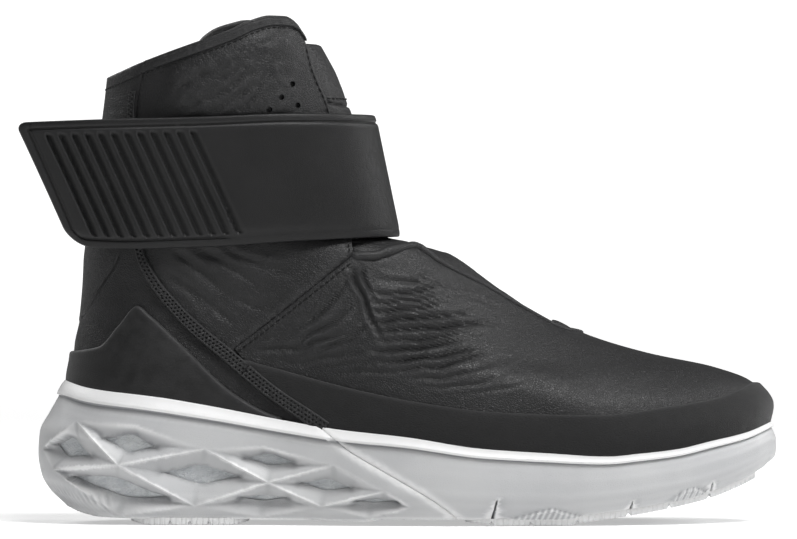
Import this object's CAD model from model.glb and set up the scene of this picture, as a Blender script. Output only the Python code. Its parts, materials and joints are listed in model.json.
import json
import math

import bpy
import numpy as np
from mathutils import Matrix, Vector, kdtree
from mathutils.geometry import delaunay_2d_cdt

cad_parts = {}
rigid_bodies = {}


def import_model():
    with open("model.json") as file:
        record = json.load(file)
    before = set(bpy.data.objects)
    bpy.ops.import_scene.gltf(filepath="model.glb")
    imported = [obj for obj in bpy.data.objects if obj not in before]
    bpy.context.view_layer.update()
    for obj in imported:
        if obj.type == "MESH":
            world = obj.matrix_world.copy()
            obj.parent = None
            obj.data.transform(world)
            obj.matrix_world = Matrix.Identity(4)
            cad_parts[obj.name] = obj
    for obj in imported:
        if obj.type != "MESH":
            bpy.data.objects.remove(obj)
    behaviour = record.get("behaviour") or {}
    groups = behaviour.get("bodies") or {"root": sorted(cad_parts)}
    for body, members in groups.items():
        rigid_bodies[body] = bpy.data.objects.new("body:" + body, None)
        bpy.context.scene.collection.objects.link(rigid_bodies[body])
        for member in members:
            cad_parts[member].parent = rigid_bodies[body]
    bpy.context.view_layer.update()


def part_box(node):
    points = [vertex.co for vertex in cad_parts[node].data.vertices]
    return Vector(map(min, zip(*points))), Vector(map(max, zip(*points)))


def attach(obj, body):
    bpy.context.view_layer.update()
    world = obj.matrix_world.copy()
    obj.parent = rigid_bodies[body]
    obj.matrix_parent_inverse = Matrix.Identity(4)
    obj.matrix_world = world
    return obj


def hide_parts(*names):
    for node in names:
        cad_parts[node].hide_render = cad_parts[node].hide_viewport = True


for thing in list(bpy.data.objects):
    bpy.data.objects.remove(thing)

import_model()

mm = 0.001
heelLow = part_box("heel_cage")[0]
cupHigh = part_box("forefoot_cup")[1]
shoe = {
    "soleLength": cupHigh.x - heelLow.x,
    "heelReach": -heelLow.x,
    "heelWidth": 84 * mm,
    "ballWidth": 110 * mm,
    "soleHeight": 54 * mm,     # floor to about the sole's top line at the heel
    "strapFoot": 112 * mm,     # floor to the strap's lower edge
    "collarHeight": 205.2 * mm,
    "lipLedge": 3 * mm,
    "heelRound": 0.145,        # rounded ends of the sole, shares of its length
    "toeRound": 0.265,
}


# Camera: a level side view from far off, as wide as the photograph shows at the shoe's outer face
def makeCamera():
    view = {"distance": 3.0, "centreX": 87.4 * mm, "centreZ": 102.6 * mm, "widthShown": 318.8 * mm}
    data = bpy.data.cameras.new("sideCamera")
    camera = bpy.data.objects.new("sideCamera", data)
    bpy.context.scene.collection.objects.link(camera)
    outerFace = -45 * mm
    data.sensor_width = 36
    data.lens = data.sensor_width * (view["distance"] + outerFace) / view["widthShown"]
    data.clip_start = 0.1
    data.clip_end = 60
    camera.location = (view["centreX"], -view["distance"], view["centreZ"])
    camera.rotation_euler = (math.radians(90), 0, 0)
    bpy.context.scene.camera = camera


makeCamera()


# Lines and surfaces of the shoe. Heights are steps: 0 to 1 floor to sole top, 1 to 2 up to the
# strap's foot, 2 to 3 up to the collar. Places along the shoe are shares of the sole's length.

# back, step at back, front, step at front, sag, heel width, ball width, nose, heel round
upperRings = [
    (0.063, 0.607, 0.975, 0.511, 0.185, 0.79, 0.86, 0.250, 0.120),
    (0.044, 1.048, 0.985, 0.748, 0.316, 0.87, 0.90, 0.260, 0.127),
    (0.047, 1.180, 0.990, 0.881, 0.296, 0.86, 0.90, 0.253, 0.127),
    (0.049, 1.320, 0.967, 1.048, 0.252, 0.85, 0.87, 0.273, 0.127),
    (0.056, 1.490, 0.916, 1.152, 0.193, 0.82, 0.82, 0.327, 0.127),
    (0.059, 1.630, 0.823, 1.255, 0.133, 0.81, 0.76, 0.373, 0.127),
    (0.061, 1.766, 0.727, 1.414, 0.074, 0.80, 0.73, 0.393, 0.127),
    (0.062, 1.890, 0.631, 1.724, 0.037, 0.81, 0.70, 0.373, 0.127),
    (0.063, 1.990, 0.552, 1.995, 0.015, 0.82, 0.68, 0.317, 0.130),
    (0.064, 2.034, 0.505, 2.034, 0.000, 0.83, 0.67, 0.288, 0.133),
    (0.065, 2.077, 0.472, 2.055, 0.000, 0.85, 0.67, 0.254, 0.137),
    (0.071, 2.219, 0.457, 2.219, 0.000, 0.87, 0.68, 0.207, 0.143),
    (0.079, 2.391, 0.444, 2.391, 0.000, 0.89, 0.69, 0.187, 0.147),
    (0.087, 2.575, 0.427, 2.584, 0.000, 0.92, 0.70, 0.173, 0.150),
    (0.092, 2.712, 0.409, 2.747, 0.000, 0.93, 0.71, 0.163, 0.147),
    (0.096, 2.863, 0.385, 2.893, 0.000, 0.94, 0.72, 0.150, 0.137),
    (0.099, 3.034, 0.364, 3.034, 0.000, 0.95, 0.73, 0.137, 0.127),
]
numberedRings = np.array([(i,) + ring for i, ring in enumerate(upperRings)])
topRing = len(upperRings) - 1
ringSag = [(0, 0), (0.10, 0.16), (0.20, 0.35), (0.38, 0.72), (0.58, 0.97), (0.70, 1.0),
           (0.78, 0.95), (0.86, 0.73), (0.93, 0.43), (1, 0)]
# place, bend to the inner side, outer half, inner half
plan = [
    (0.00, 0.000, 1.00, 1.00),
    (0.25, 0.000, 1.00, 1.00),
    (0.45, -0.003, 1.06, 0.86),
    (0.63, 0.000, 1.00, 0.93),
    (0.74, 0.008, 0.96, 1.02),
    (0.88, 0.022, 0.93, 1.04),
    (1.00, 0.034, 0.95, 1.02),
]
widthChange = (0.30, 0.62)
# share of the wall's height, back, front, inset in ledges
soleRings = [
    (0.00, 0.039, 0.985, 1.70),
    (0.11, 0.016, 0.995, 0.85),
    (0.22, 0.005, 0.999, 0.35),
    (0.40, 0.000, 1.000, 0.05),
    (0.58, 0.002, 1.000, 0.05),
    (0.75, 0.016, 0.997, 0.17),
    (0.87, 0.026, 0.994, 0.30),
    (0.90, 0.027, 0.995, 0.00),
    (1.00, 0.036, 0.991, 1.00),
]
# Side lines: place, step
rimLine = [(0.036, 1.062), (0.068, 1.021), (0.140, 0.970), (0.236, 0.881), (0.332, 0.778),
           (0.404, 0.711), (0.500, 0.652), (0.596, 0.570), (0.692, 0.533), (0.764, 0.511),
           (0.812, 0.533), (0.860, 0.563), (0.908, 0.622), (0.956, 0.681), (0.992, 0.756)]
underLine = [(0.009, 0.156), (0.039, 0.126), (0.063, 0.081), (0.089, 0.056), (0.156, 0.048),
             (0.356, 0.048), (0.399, 0.031), (0.439, 0.031), (0.468, 0.048), (0.703, 0.048),
             (0.737, 0.074), (0.780, 0.104), (0.823, 0.141), (0.865, 0.185), (0.908, 0.244),
             (0.951, 0.333), (0.989, 0.437)]
bedLine = [(0.036, 0.607), (0.196, 0.593), (0.396, 0.563), (0.556, 0.430), (0.703, 0.352),
           (0.809, 0.356), (0.889, 0.407), (0.983, 0.519)]
partingLine = [(0.345, 0.900), (0.385, 0.719), (0.422, 0.553), (0.467, 0.405), (0.511, 0.264),
               (0.544, 0.148), (0.567, 0.037), (0.580, -0.100)]
guardTop = [(0.281, 1.214), (0.396, 1.053), (0.436, 1.002), (0.511, 0.919),
            (0.625, 0.841), (0.756, 0.819), (0.857, 0.881), (0.912, 0.930), (0.964, 1.034)]
counterTop = [(0.036, 1.262), (0.087, 1.303), (0.113, 1.448), (0.138, 1.586), (0.156, 1.517),
              (0.189, 1.359), (0.265, 0.988), (0.311, 0.840), (0.332, 0.800)]
stripLine = [(0.392, 0.720), (0.366, 0.815), (0.327, 0.956), (0.265, 1.214), (0.199, 1.510),
             (0.163, 1.738), (0.143, 1.938), (0.133, 2.197), (0.129, 2.412), (0.129, 2.584),
             (0.133, 2.700)]
throatLine = [(0.363, 2.876), (0.372, 2.764), (0.393, 2.592), (0.411, 2.305), (0.423, 2.026),
              (0.425, 1.945), (0.432, 1.931), (0.451, 1.931), (0.476, 1.966), (0.508, 2.002),
              (0.524, 1.965), (0.540, 1.903), (0.603, 1.731), (0.652, 1.583), (0.684, 1.490),
              (0.703, 1.438), (0.712, 1.421)]
outerCollar = [(0.090, 2.728), (0.104, 2.744), (0.125, 2.770), (0.167, 2.822),
               (0.212, 2.873), (0.240, 2.904), (0.265, 2.936), (0.290, 2.974),
               (0.315, 2.995), (0.335, 2.994), (0.347, 2.975), (0.357, 2.930)]
innerCollar = [(0.090, 2.728), (0.104, 2.744), (0.125, 2.770), (0.167, 2.822),
               (0.203, 2.867), (0.219, 2.927), (0.239, 2.966), (0.263, 2.989),
               (0.280, 3.000), (0.305, 2.991), (0.335, 2.970), (0.353, 2.927)]


def through(rows, at, column=1):
    table = np.asarray(rows, float)      # smooth curve through a few rows, never past them
    xs, ys = table[:, 0], table[:, column]
    slopes = np.diff(ys) / np.diff(xs)
    product = slopes[:-1] * slopes[1:]
    total = slopes[:-1] + slopes[1:]
    tangents = np.zeros(len(xs))
    tangents[0], tangents[-1] = slopes[0], slopes[-1]
    tangents[1:-1] = np.where(product > 0, 2 * product / np.where(total == 0, 1, total), 0)
    at = np.clip(at, xs[0], xs[-1])
    i = np.clip(np.searchsorted(xs, at, side="right") - 1, 0, len(xs) - 2)
    span = xs[i + 1] - xs[i]
    t = (at - xs[i]) / span
    return (ys[i] * (1 + 2 * t) * (1 - t) ** 2 + span * tangents[i] * t * (1 - t) ** 2
            + ys[i + 1] * t * t * (3 - 2 * t) + span * tangents[i + 1] * t * t * (t - 1))


def along(share):
    return share * shoe["soleLength"] - shoe["heelReach"]


def shareOf(x):
    return (x + shoe["heelReach"]) / shoe["soleLength"]


def height(step):
    sole, strap, collar = shoe["soleHeight"], shoe["strapFoot"], shoe["collarHeight"]
    return np.interp(step, [-1, 0, 1, 2, 3, 4], [-sole, 0, sole, strap, collar, 2 * collar - strap])


def sideLine(rows, x):
    return height(through(rows, shareOf(x)))


def smoothStep(low, high, value):
    t = np.clip((value - low) / (high - low), 0, 1)
    return t * t * (3 - 2 * t)


def halfWidth(x, side, heel, ball):
    t = smoothStep(*widthChange, shareOf(x))
    half = heel * shoe["heelWidth"] / 2 * (1 - t) + ball * shoe["ballWidth"] / 2 * t
    share = shareOf(x)
    return half * np.where(side < 0, through(plan, share, 2), through(plan, share, 3))


def bendAt(x):
    return through(plan, shareOf(x)) * shoe["soleLength"]


def rounding(fromBack, fromFront, heelRound, nose):
    b = 1 - np.clip(fromBack / heelRound, 0, 1)
    f = 1 - np.clip(fromFront / nose, 0, 1)
    return np.sqrt(1 - b * b) * np.sqrt(1 - f * f)


def turnAt(share, side):
    turn = np.arccos(1 - 2 * np.clip(share, 0, 1)) / (2 * math.pi)
    return np.where(side < 0, turn, 1 - turn)


def upperRow(level):
    return [through(numberedRings, level, column) for column in range(1, 10)]


rimRow = upperRow(1.0)


def ringHeight(level, x, row):
    def above(r):
        s = np.clip((shareOf(x) - r[0]) / (r[2] - r[0]), 0, 1)
        return (height(r[1]) * (1 - s) + height(r[3]) * s
                - r[4] * shoe["soleHeight"] * through(ringSag, s))
    bed = sideLine(bedLine, x)
    return np.where(level < 1, bed + (above(rimRow) - bed) * level, above(row))


def upperBase(level, turn):
    turn = np.mod(turn, 1.0)
    row = upperRow(level)
    s = (1 - np.cos(2 * math.pi * turn)) / 2
    x = along(row[0] + s * (row[2] - row[0]))
    side = np.where(turn < 0.5, -1, 1)
    length = (row[2] - row[0]) * shoe["soleLength"]
    openBy = rounding(s * length, (1 - s) * length,
                      row[8] * shoe["soleLength"], row[7] * shoe["soleLength"])
    y = bendAt(x) + side * halfWidth(x, side, row[5], row[6]) * openBy
    return np.stack([x, y, ringHeight(level, x, row)], -1)


def soleBase(level, turn):
    turn = np.mod(turn, 1.0)
    back, front, inset = [through(soleRings, level, column) for column in (1, 2, 3)]
    s = (1 - np.cos(2 * math.pi * turn)) / 2
    x = along(back + s * (front - back))
    side = np.where(turn < 0.5, -1, 1)
    length = (front - back) * shoe["soleLength"]
    openBy = rounding(s * length, (1 - s) * length, shoe["heelRound"] * shoe["soleLength"],
                      shoe["toeRound"] * shoe["soleLength"])
    half = halfWidth(x, side, 1, 1) - inset * shoe["lipLedge"]
    low = sideLine(underLine, x)
    return np.stack([x, bendAt(x) + side * half * openBy,
                     low + level * (sideLine(rimLine, x) - low)], -1)


def squareTo(base, level, turn):
    nudge = 0.002
    across = base(level, turn + nudge) - base(level, turn - nudge)
    up = base(level + nudge, turn) - base(level - nudge, turn)
    normal = np.cross(across, up)
    return normal / np.maximum(np.linalg.norm(normal, axis=-1, keepdims=True), 1e-12)


def lifted(base, level, turn, lift):
    level, turn, lift = np.broadcast_arrays(np.asarray(level, float), turn, lift)
    return base(level, turn) + squareTo(base, level, turn) * lift[..., None]


def halved(low, high, isBelow):
    for step in range(30):      # closes in on the value where isBelow stops being true
        middle = (low + high) / 2
        below = isBelow(middle)
        low, high = np.where(below, middle, low), np.where(below, high, middle)
    return low


def upperPin(x, z, side):
    x, z = np.broadcast_arrays(np.asarray(x, float), z)      # level and turn seen at x, z
    level = halved(np.zeros(x.shape), np.full(x.shape, float(topRing)),
                   lambda level: ringHeight(level, x, upperRow(level)) < z)
    row = upperRow(level)
    return level, turnAt((shareOf(x) - row[0]) / (row[2] - row[0]), side)


def upperLevel(turn, heightAt):
    turn = np.asarray(turn, float)      # level at which each turn crosses a side line

    def isBelow(level):
        point = upperBase(level, turn)
        return point[..., 2] < heightAt(point[..., 0])

    return halved(np.zeros(turn.shape), np.full(turn.shape, topRing - 0.01), isBelow)


def solePin(x, z, side):
    low = sideLine(underLine, x)
    level = (z - low) / (sideLine(rimLine, x) - low)
    back, front = [through(soleRings, level, column) for column in (1, 2)]
    return level, turnAt((shareOf(x) - back) / (front - back), side)


def frontTurn(level, reach):
    row = upperRow(level)
    return turnAt(1 - reach / ((row[2] - row[0]) * shoe["soleLength"]), -1)


# Mesh helpers
noiseTables = {}


def softNoise(a, b, seed=1):
    if seed not in noiseTables:
        noiseTables[seed] = np.random.RandomState(seed).rand(64, 64) * 2 - 1
    table = noiseTables[seed]
    i, j = np.floor(a).astype(int), np.floor(b).astype(int)
    s, t = a - i, b - j
    s, t = s * s * (3 - 2 * s), t * t * (3 - 2 * t)
    i0, i1, j0, j1 = i % 64, (i + 1) % 64, j % 64, (j + 1) % 64
    return ((table[i0, j0] * (1 - s) + table[i1, j0] * s) * (1 - t)
            + (table[i0, j1] * (1 - s) + table[i1, j1] * s) * t)


def curved(points, parts=6):
    points = np.asarray(points, float)      # a smooth line through hand-placed points
    padded = np.vstack([2 * points[0] - points[1], points, 2 * points[-1] - points[-2]])
    made = []
    for a, b, c, d in zip(padded, padded[1:], padded[2:], padded[3:]):
        for t in np.arange(parts) / parts:
            made.append(0.5 * (2 * b + (c - a) * t + (2 * a - 5 * b + 4 * c - d) * t * t
                               + (3 * b - a - 3 * c + d) * t ** 3))
    return np.vstack([made, points[-1]])


def lineDistance(a, b, points):
    best = np.full(a.shape, 1e9)      # distance, share along and side of a line
    share, side, run = np.zeros(a.shape), np.zeros(a.shape), 0.0
    for (a0, b0), (a1, b1) in zip(points[:-1], points[1:]):
        da, db = a1 - a0, b1 - b0
        length = max(math.hypot(da, db), 1e-9)
        t = np.clip(((a - a0) * da + (b - b0) * db) / length ** 2, 0, 1)
        gap = np.hypot(a - a0 - t * da, b - b0 - t * db)
        closer = gap < best
        best = np.where(closer, gap, best)
        share = np.where(closer, run + t * length, share)
        side = np.where(closer, np.sign(da * (b - b0) - db * (a - a0)), side)
        run += length
    return best, share / run, side


def beside(points, shift):
    points = np.asarray(points, float)      # the same line, moved sideways
    run = np.gradient(points, axis=0)
    run /= np.linalg.norm(run, axis=1, keepdims=True)
    return points + np.stack([-run[:, 1], run[:, 0]], 1) * shift


def evenly(points, pitch, closed=False):
    points = np.asarray(points, float)
    if closed:
        points = np.vstack([points, points[:1]])
    gaps = np.linalg.norm(np.diff(points, axis=0), axis=1)
    made = []
    for start, end, gap in zip(points, points[1:], gaps):
        count = max(1, int(round(gap / pitch)))
        made += [start + (end - start) * k / count for k in range(count)]
    return np.array(made if closed else made + [points[-1]])


def insideOf(a, b, polygon):
    inside = np.zeros(a.shape, bool)
    for (a0, b0), (a1, b1) in zip(polygon, np.roll(polygon, -1, axis=0)):
        if b0 != b1:
            inside ^= ((b0 > b) != (b1 > b)) & (a < (a1 - a0) * (b - b0) / (b1 - b0) + a0)
    return inside


def meshObject(name, points, faces, finishes, zones=None, sharp=40):
    mesh = bpy.data.meshes.new(name)
    mesh.from_pydata(np.asarray(points).tolist(), [], np.asarray(faces).tolist()
                     if isinstance(faces, np.ndarray) else faces)
    mesh.shade_smooth()
    mesh.set_sharp_from_angle(angle=math.radians(sharp))
    for finish in finishes:
        mesh.materials.append(finish)
    if zones is not None:
        mesh.polygons.foreach_set("material_index", np.asarray(zones, np.int32))
    made = bpy.data.objects.new(name, mesh)
    bpy.context.scene.collection.objects.link(made)
    return made


def sheetOf(name, outline, features, pitch, place, finishes, holes=(), fine=(), sharp=40,
            zone=None):
    # triangles fitted to an outline and its feature lines, then laid on the shoe
    outline = evenly(outline, pitch, closed=True)
    corners, edges = [], []

    def addLine(points, closed):
        start = len(corners)
        corners.extend(points)
        edges.extend((start + k, start + k + 1) for k in range(len(points) - 1))
        if closed:
            edges.append((start + len(points) - 1, start))

    addLine(outline, True)
    for points, closed in features:
        line = evenly(points, pitch * 0.8, closed)
        if closed or insideOf(line[:, 0], line[:, 1], outline).any():
            addLine(line, closed)
    low, high = outline.min(0), outline.max(0)

    def lattice(step):
        a, b = np.meshgrid(np.arange(low[0], high[0], step),
                           np.arange(low[1], high[1], step * 0.866))
        a = a + (np.arange(a.shape[0]) % 2)[:, None] * step / 2
        return a.ravel(), b.ravel()

    a, b = lattice(pitch)
    keep = insideOf(a, b, outline)
    for area, step in fine:
        keep &= ~insideOf(a, b, area)
    free = [np.stack([a[keep], b[keep]], 1)]
    for area, step in fine:
        a, b = lattice(step)
        keep = insideOf(a, b, area) & insideOf(a, b, outline)
        free.append(np.stack([a[keep], b[keep]], 1))
    tree = kdtree.KDTree(len(corners))
    for index, corner in enumerate(corners):
        tree.insert((corner[0], corner[1], 0), index)
    tree.balance()
    for group, step in zip(free, [pitch] + [area[1] for area in fine]):
        for a, b in group.tolist():
            if tree.find((a, b, 0))[2] > step * 0.45:
                corners.append((a, b))
    found = delaunay_2d_cdt([Vector((c[0], c[1])) for c in corners], edges, [], 0, 1e-9, False)
    flat = np.array([tuple(c) for c in found[0]])
    faces = np.array(found[2])
    middle = flat[faces].mean(1)
    keep = insideOf(middle[:, 0], middle[:, 1], outline)
    for hole in holes:
        keep &= ~insideOf(middle[:, 0], middle[:, 1], np.asarray(hole))
    faces, middle = faces[keep], middle[keep]
    p, q, r = flat[faces[:, 0]], flat[faces[:, 1]], flat[faces[:, 2]]
    turned = (q[:, 0] - p[:, 0]) * (r[:, 1] - p[:, 1]) < (q[:, 1] - p[:, 1]) * (r[:, 0] - p[:, 0])
    faces[turned] = faces[turned][:, ::-1]
    used = np.unique(faces)
    faces = np.searchsorted(used, faces)
    flat = flat[used]
    zones = zone(middle[:, 0], middle[:, 1]).astype(np.int32) if zone else None
    return meshObject(name, place(flat[:, 0], flat[:, 1]), faces, finishes, zones, sharp)


def loft(name, sections, finishes, sharp=40):
    sections = np.asarray(sections, float)      # closed loops joined one to the next
    count, size = sections.shape[:2]
    points = sections.reshape(-1, 3)
    i, k = np.meshgrid(np.arange(count - 1), np.arange(size), indexing="ij")
    nextI, nextK = i + 1, (k + 1) % size
    faces = np.stack([i * size + k, i * size + nextK, nextI * size + nextK, nextI * size + k], -1)
    faces = faces.reshape(-1, 4).tolist()
    points = np.vstack([points, sections[0].mean(0), sections[-1].mean(0)])
    first, last = len(points) - 2, len(points) - 1
    for k in range(size):
        faces.append([(k + 1) % size, k, first])
        faces.append([(count - 1) * size + k, (count - 1) * size + (k + 1) % size, last])
    made = meshObject(name, points, faces, finishes, sharp=sharp)
    faceOut(made)
    return made


def faceOut(piece):
    mesh = piece.data      # turns a closed mesh's faces outward
    corner = np.zeros(len(mesh.vertices) * 3)
    mesh.vertices.foreach_get("co", corner)
    corner = corner.reshape(-1, 3)
    mesh.calc_loop_triangles()
    tris = np.zeros(len(mesh.loop_triangles) * 3, np.int32)
    mesh.loop_triangles.foreach_get("vertices", tris)
    a, b, c = [corner[tris.reshape(-1, 3)[:, k]] for k in range(3)]
    if (np.cross(a, b) * c).sum() < 0:
        mesh.flip_normals()


def tube(name, points, radius, finishes, up):
    sides, endShare = 12, 0.55      # a round edge along a line, narrowed at its two ends
    run = np.gradient(points, axis=0)
    run /= np.maximum(np.linalg.norm(run, axis=1, keepdims=True), 1e-12)
    side = np.cross(run, up)
    side /= np.maximum(np.linalg.norm(side, axis=1, keepdims=True), 1e-12)
    top = np.cross(side, run)
    angles = np.arange(sides) * 2 * math.pi / sides
    ring = (np.cos(angles)[None, :, None] * side[:, None, :]
            + np.sin(angles)[None, :, None] * top[:, None, :])
    ends = np.ones(len(points))
    ends[0], ends[-1] = endShare, endShare
    return loft(name, points[:, None, :] + ring * (radius * ends)[:, None, None], finishes)


def joined(name, pieces, sharp=40):
    points, faces, zones, start = [], [], [], 0      # many small pieces as one mesh
    finishes = list(pieces[0].data.materials)
    for piece in pieces:
        mesh = piece.data
        points += [tuple(v.co) for v in mesh.vertices]
        faces += [[v + start for v in p.vertices] for p in mesh.polygons]
        zones += [p.material_index for p in mesh.polygons]
        start += len(mesh.vertices)
        bpy.data.objects.remove(piece)
        bpy.data.meshes.remove(mesh)
    return meshObject(name, points, faces, finishes, zones, sharp)


def stitches(name, points, normals, finish, pitch=3.2 * mm, size=2.1 * mm, thick=0.32 * mm):
    points, normals = np.asarray(points), np.asarray(normals)      # a row of sewn stitches
    steps = np.linalg.norm(np.diff(points, axis=0), axis=1)
    run = np.concatenate([[0], np.cumsum(steps)])
    count = max(1, int(run[-1] / pitch))
    made, faces = [], []
    profile = [(-1.0, -0.5), (-0.75, 0.35), (-0.25, 0.75), (0.25, 0.75), (0.75, 0.35), (1.0, -0.5)]
    sides = 6
    for index in range(count):
        at = (index + 0.5) * pitch
        start = len(made)
        middle = np.array([np.interp(at, run, points[:, c]) for c in range(3)])
        before = np.array([np.interp(at - size / 2, run, points[:, c]) for c in range(3)])
        after = np.array([np.interp(at + size / 2, run, points[:, c]) for c in range(3)])
        normal = np.array([np.interp(at, run, normals[:, c]) for c in range(3)])
        normal /= np.linalg.norm(normal)
        way = after - before
        way /= np.linalg.norm(way)
        side = np.cross(way, normal)
        for share, rise in profile:
            centre = middle + way * share * size / 2 + normal * rise * thick
            for k in range(sides):
                angle = 2 * math.pi * k / sides
                made.append(centre + (side * math.cos(angle) + normal * math.sin(angle)) * thick)
        for ring in range(len(profile) - 1):
            for k in range(sides):
                a, b = start + ring * sides + k, start + ring * sides + (k + 1) % sides
                faces.append([a, b, b + sides, a + sides])
        faces.append([start + k for k in range(sides)][::-1])
        faces.append([start + (len(profile) - 1) * sides + k for k in range(sides)])
    return meshObject(name, made, faces, [finish])


def finishPiece(piece, slot, *nodes):
    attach(piece, "root")
    if nodes:
        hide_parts(*nodes)


def thicken(piece, wall, innerFinish=0):
    shell = piece.modifiers.new("wall", "SOLIDIFY")
    shell.material_offset = innerFinish
    shell.thickness = wall
    shell.offset = -1
    shell.use_even_offset = False


# Shader node groups shared by the finishes
def addNode(tree, kind, **values):
    node = tree.nodes.new(kind)
    for key, value in values.items():
        setattr(node, key, value)
    return node


def join(tree, source, target):
    tree.links.new(source, target)


def newGroup(name, inputs, outputs):
    group = bpy.data.node_groups.new(name, "ShaderNodeTree")
    for label, value in inputs:
        group.interface.new_socket(label, in_out="INPUT",
                                   socket_type="NodeSocketFloat").default_value = value
    for label in outputs:
        group.interface.new_socket(label, in_out="OUTPUT", socket_type="NodeSocketFloat")
    return group, addNode(group, "NodeGroupInput"), addNode(group, "NodeGroupOutput")


def mathNode(tree, operation, first, second=None, clamp=False):
    node = addNode(tree, "ShaderNodeMath", operation=operation, use_clamp=clamp)
    for slot, value in ((0, first), (1, second)):
        if value is None:
            continue
        if isinstance(value, (int, float)):
            node.inputs[slot].default_value = value
        else:
            join(tree, value, node.inputs[slot])
    return node.outputs[0]


def textureNode(tree, kind, coords, scale, **values):
    node = addNode(tree, kind, **values)
    join(tree, coords, node.inputs["Vector"])
    if isinstance(scale, (int, float)):
        node.inputs["Scale"].default_value = scale
    else:
        join(tree, scale, node.inputs["Scale"])
    return node


def ranged(tree, value, low, high, toLow=0.0, toHigh=1.0):
    node = addNode(tree, "ShaderNodeMapRange", interpolation_type="SMOOTHSTEP")
    join(tree, value, node.inputs["Value"])
    for label, number in (("From Min", low), ("From Max", high), ("To Min", toLow),
                          ("To Max", toHigh)):
        node.inputs[label].default_value = number
    return node.outputs["Result"]


def makeGrainGroup():
    # pebbled leather: soft cells with creased borders and small pores
    group, start, end = newGroup("leatherGrain", [("Scale", 900), ("Pores", 0.3)],
                                 ["Height", "Border"])
    coords = addNode(group, "ShaderNodeTexCoord").outputs["Object"]
    warp = textureNode(group, "ShaderNodeTexNoise", coords, 260)
    warp.inputs["Detail"].default_value = 2
    shift = addNode(group, "ShaderNodeVectorMath", operation="SCALE")
    shift.inputs["Scale"].default_value = 0.0012
    join(group, warp.outputs["Color"], shift.inputs[0])
    moved = addNode(group, "ShaderNodeVectorMath", operation="ADD")
    join(group, coords, moved.inputs[0])
    join(group, shift.outputs[0], moved.inputs[1])
    cells = textureNode(group, "ShaderNodeTexVoronoi", moved.outputs[0], start.outputs["Scale"],
                        feature="DISTANCE_TO_EDGE")
    border = ranged(group, cells.outputs["Distance"], 0.0, 0.22)
    pores = textureNode(group, "ShaderNodeTexNoise", coords, 4200)
    dots = mathNode(group, "MULTIPLY", pores.outputs["Fac"], start.outputs["Pores"])
    join(group, mathNode(group, "ADD", border, dots), end.inputs["Height"])
    join(group, border, end.inputs["Border"])
    return group


def makeMottleGroup():
    # slow and fine change of tone over a surface
    group, start, end = newGroup("surfaceMottle", [("Scale", 40), ("Fine", 600)],
                                 ["Broad", "Fine"])
    coords = addNode(group, "ShaderNodeTexCoord").outputs["Object"]
    broad = textureNode(group, "ShaderNodeTexNoise", coords, start.outputs["Scale"])
    broad.inputs["Detail"].default_value = 3
    fine = textureNode(group, "ShaderNodeTexNoise", coords, start.outputs["Fine"])
    fine.inputs["Detail"].default_value = 4
    join(group, ranged(group, broad.outputs["Fac"], 0.3, 0.7), end.inputs["Broad"])
    join(group, ranged(group, fine.outputs["Fac"], 0.3, 0.7), end.inputs["Fine"])
    return group


def makeWearGroup():
    # rubbed edges and dirty hollows, from the form itself
    group, start, end = newGroup("edgeWear", [("Spread", 0.04)], ["Edge", "Hollow"])
    sharpness = addNode(group, "ShaderNodeNewGeometry").outputs["Pointiness"]
    centred = mathNode(group, "SUBTRACT", sharpness, 0.5)
    scaled = mathNode(group, "DIVIDE", centred, start.outputs["Spread"])
    join(group, mathNode(group, "MULTIPLY", scaled, 1.0, clamp=True), end.inputs["Edge"])
    join(group, mathNode(group, "MULTIPLY", scaled, -1.0, clamp=True), end.inputs["Hollow"])
    return group


def makeNapGroup():
    # brushed nap: short streaks over a fine grain
    group, start, end = newGroup("brushedNap", [("Scale", 2600)], ["Height", "Tone"])
    coords = addNode(group, "ShaderNodeTexCoord").outputs["Object"]
    stretch = addNode(group, "ShaderNodeMapping")
    stretch.inputs["Scale"].default_value = (0.45, 1.0, 1.0)
    join(group, coords, stretch.inputs["Vector"])
    fibres = textureNode(group, "ShaderNodeTexNoise", stretch.outputs[0], start.outputs["Scale"])
    fibres.inputs["Detail"].default_value = 5
    patches = textureNode(group, "ShaderNodeTexNoise", coords, 220)
    patches.inputs["Detail"].default_value = 4
    join(group, fibres.outputs["Fac"], end.inputs["Height"])
    join(group, ranged(group, patches.outputs["Fac"], 0.35, 0.65), end.inputs["Tone"])
    return group


def makeWeaveGroup():
    # knitted lining: rows of small loops
    group, start, end = newGroup("liningWeave", [("Scale", 1100)], ["Height", "Gap"])
    coords = addNode(group, "ShaderNodeTexCoord").outputs["Object"]
    waves = []
    for direction, turn in (("X", 0.0), ("Z", 0.35)):
        wave = textureNode(group, "ShaderNodeTexWave", coords, start.outputs["Scale"],
                           bands_direction=direction)
        wave.inputs["Distortion"].default_value = turn
        waves.append(wave.outputs["Fac"])
    height = mathNode(group, "MULTIPLY", waves[0], waves[1])
    join(group, height, end.inputs["Height"])
    join(group, ranged(group, height, 0.0, 0.25, 1.0, 0.0), end.inputs["Gap"])
    return group


groups = {"grain": makeGrainGroup(), "mottle": makeMottleGroup(), "wear": makeWearGroup(),
          "nap": makeNapGroup(), "weave": makeWeaveGroup()}


def useGroup(tree, name, **values):
    node = addNode(tree, "ShaderNodeGroup", node_tree=groups[name])
    for key, value in values.items():
        node.inputs[key].default_value = value
    return node


def blendColour(tree, factor, first, second):
    mix = addNode(tree, "ShaderNodeMix", data_type="RGBA")
    join(tree, factor, mix.inputs["Factor"])
    for slot, value in (("A", first), ("B", second)):
        socket = [s for s in mix.inputs if s.name == slot and s.type == "RGBA"][0]
        if isinstance(value, tuple):
            socket.default_value = (*value, 1)
        else:
            join(tree, value, socket)
    return [s for s in mix.outputs if s.type == "RGBA"][0]


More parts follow.
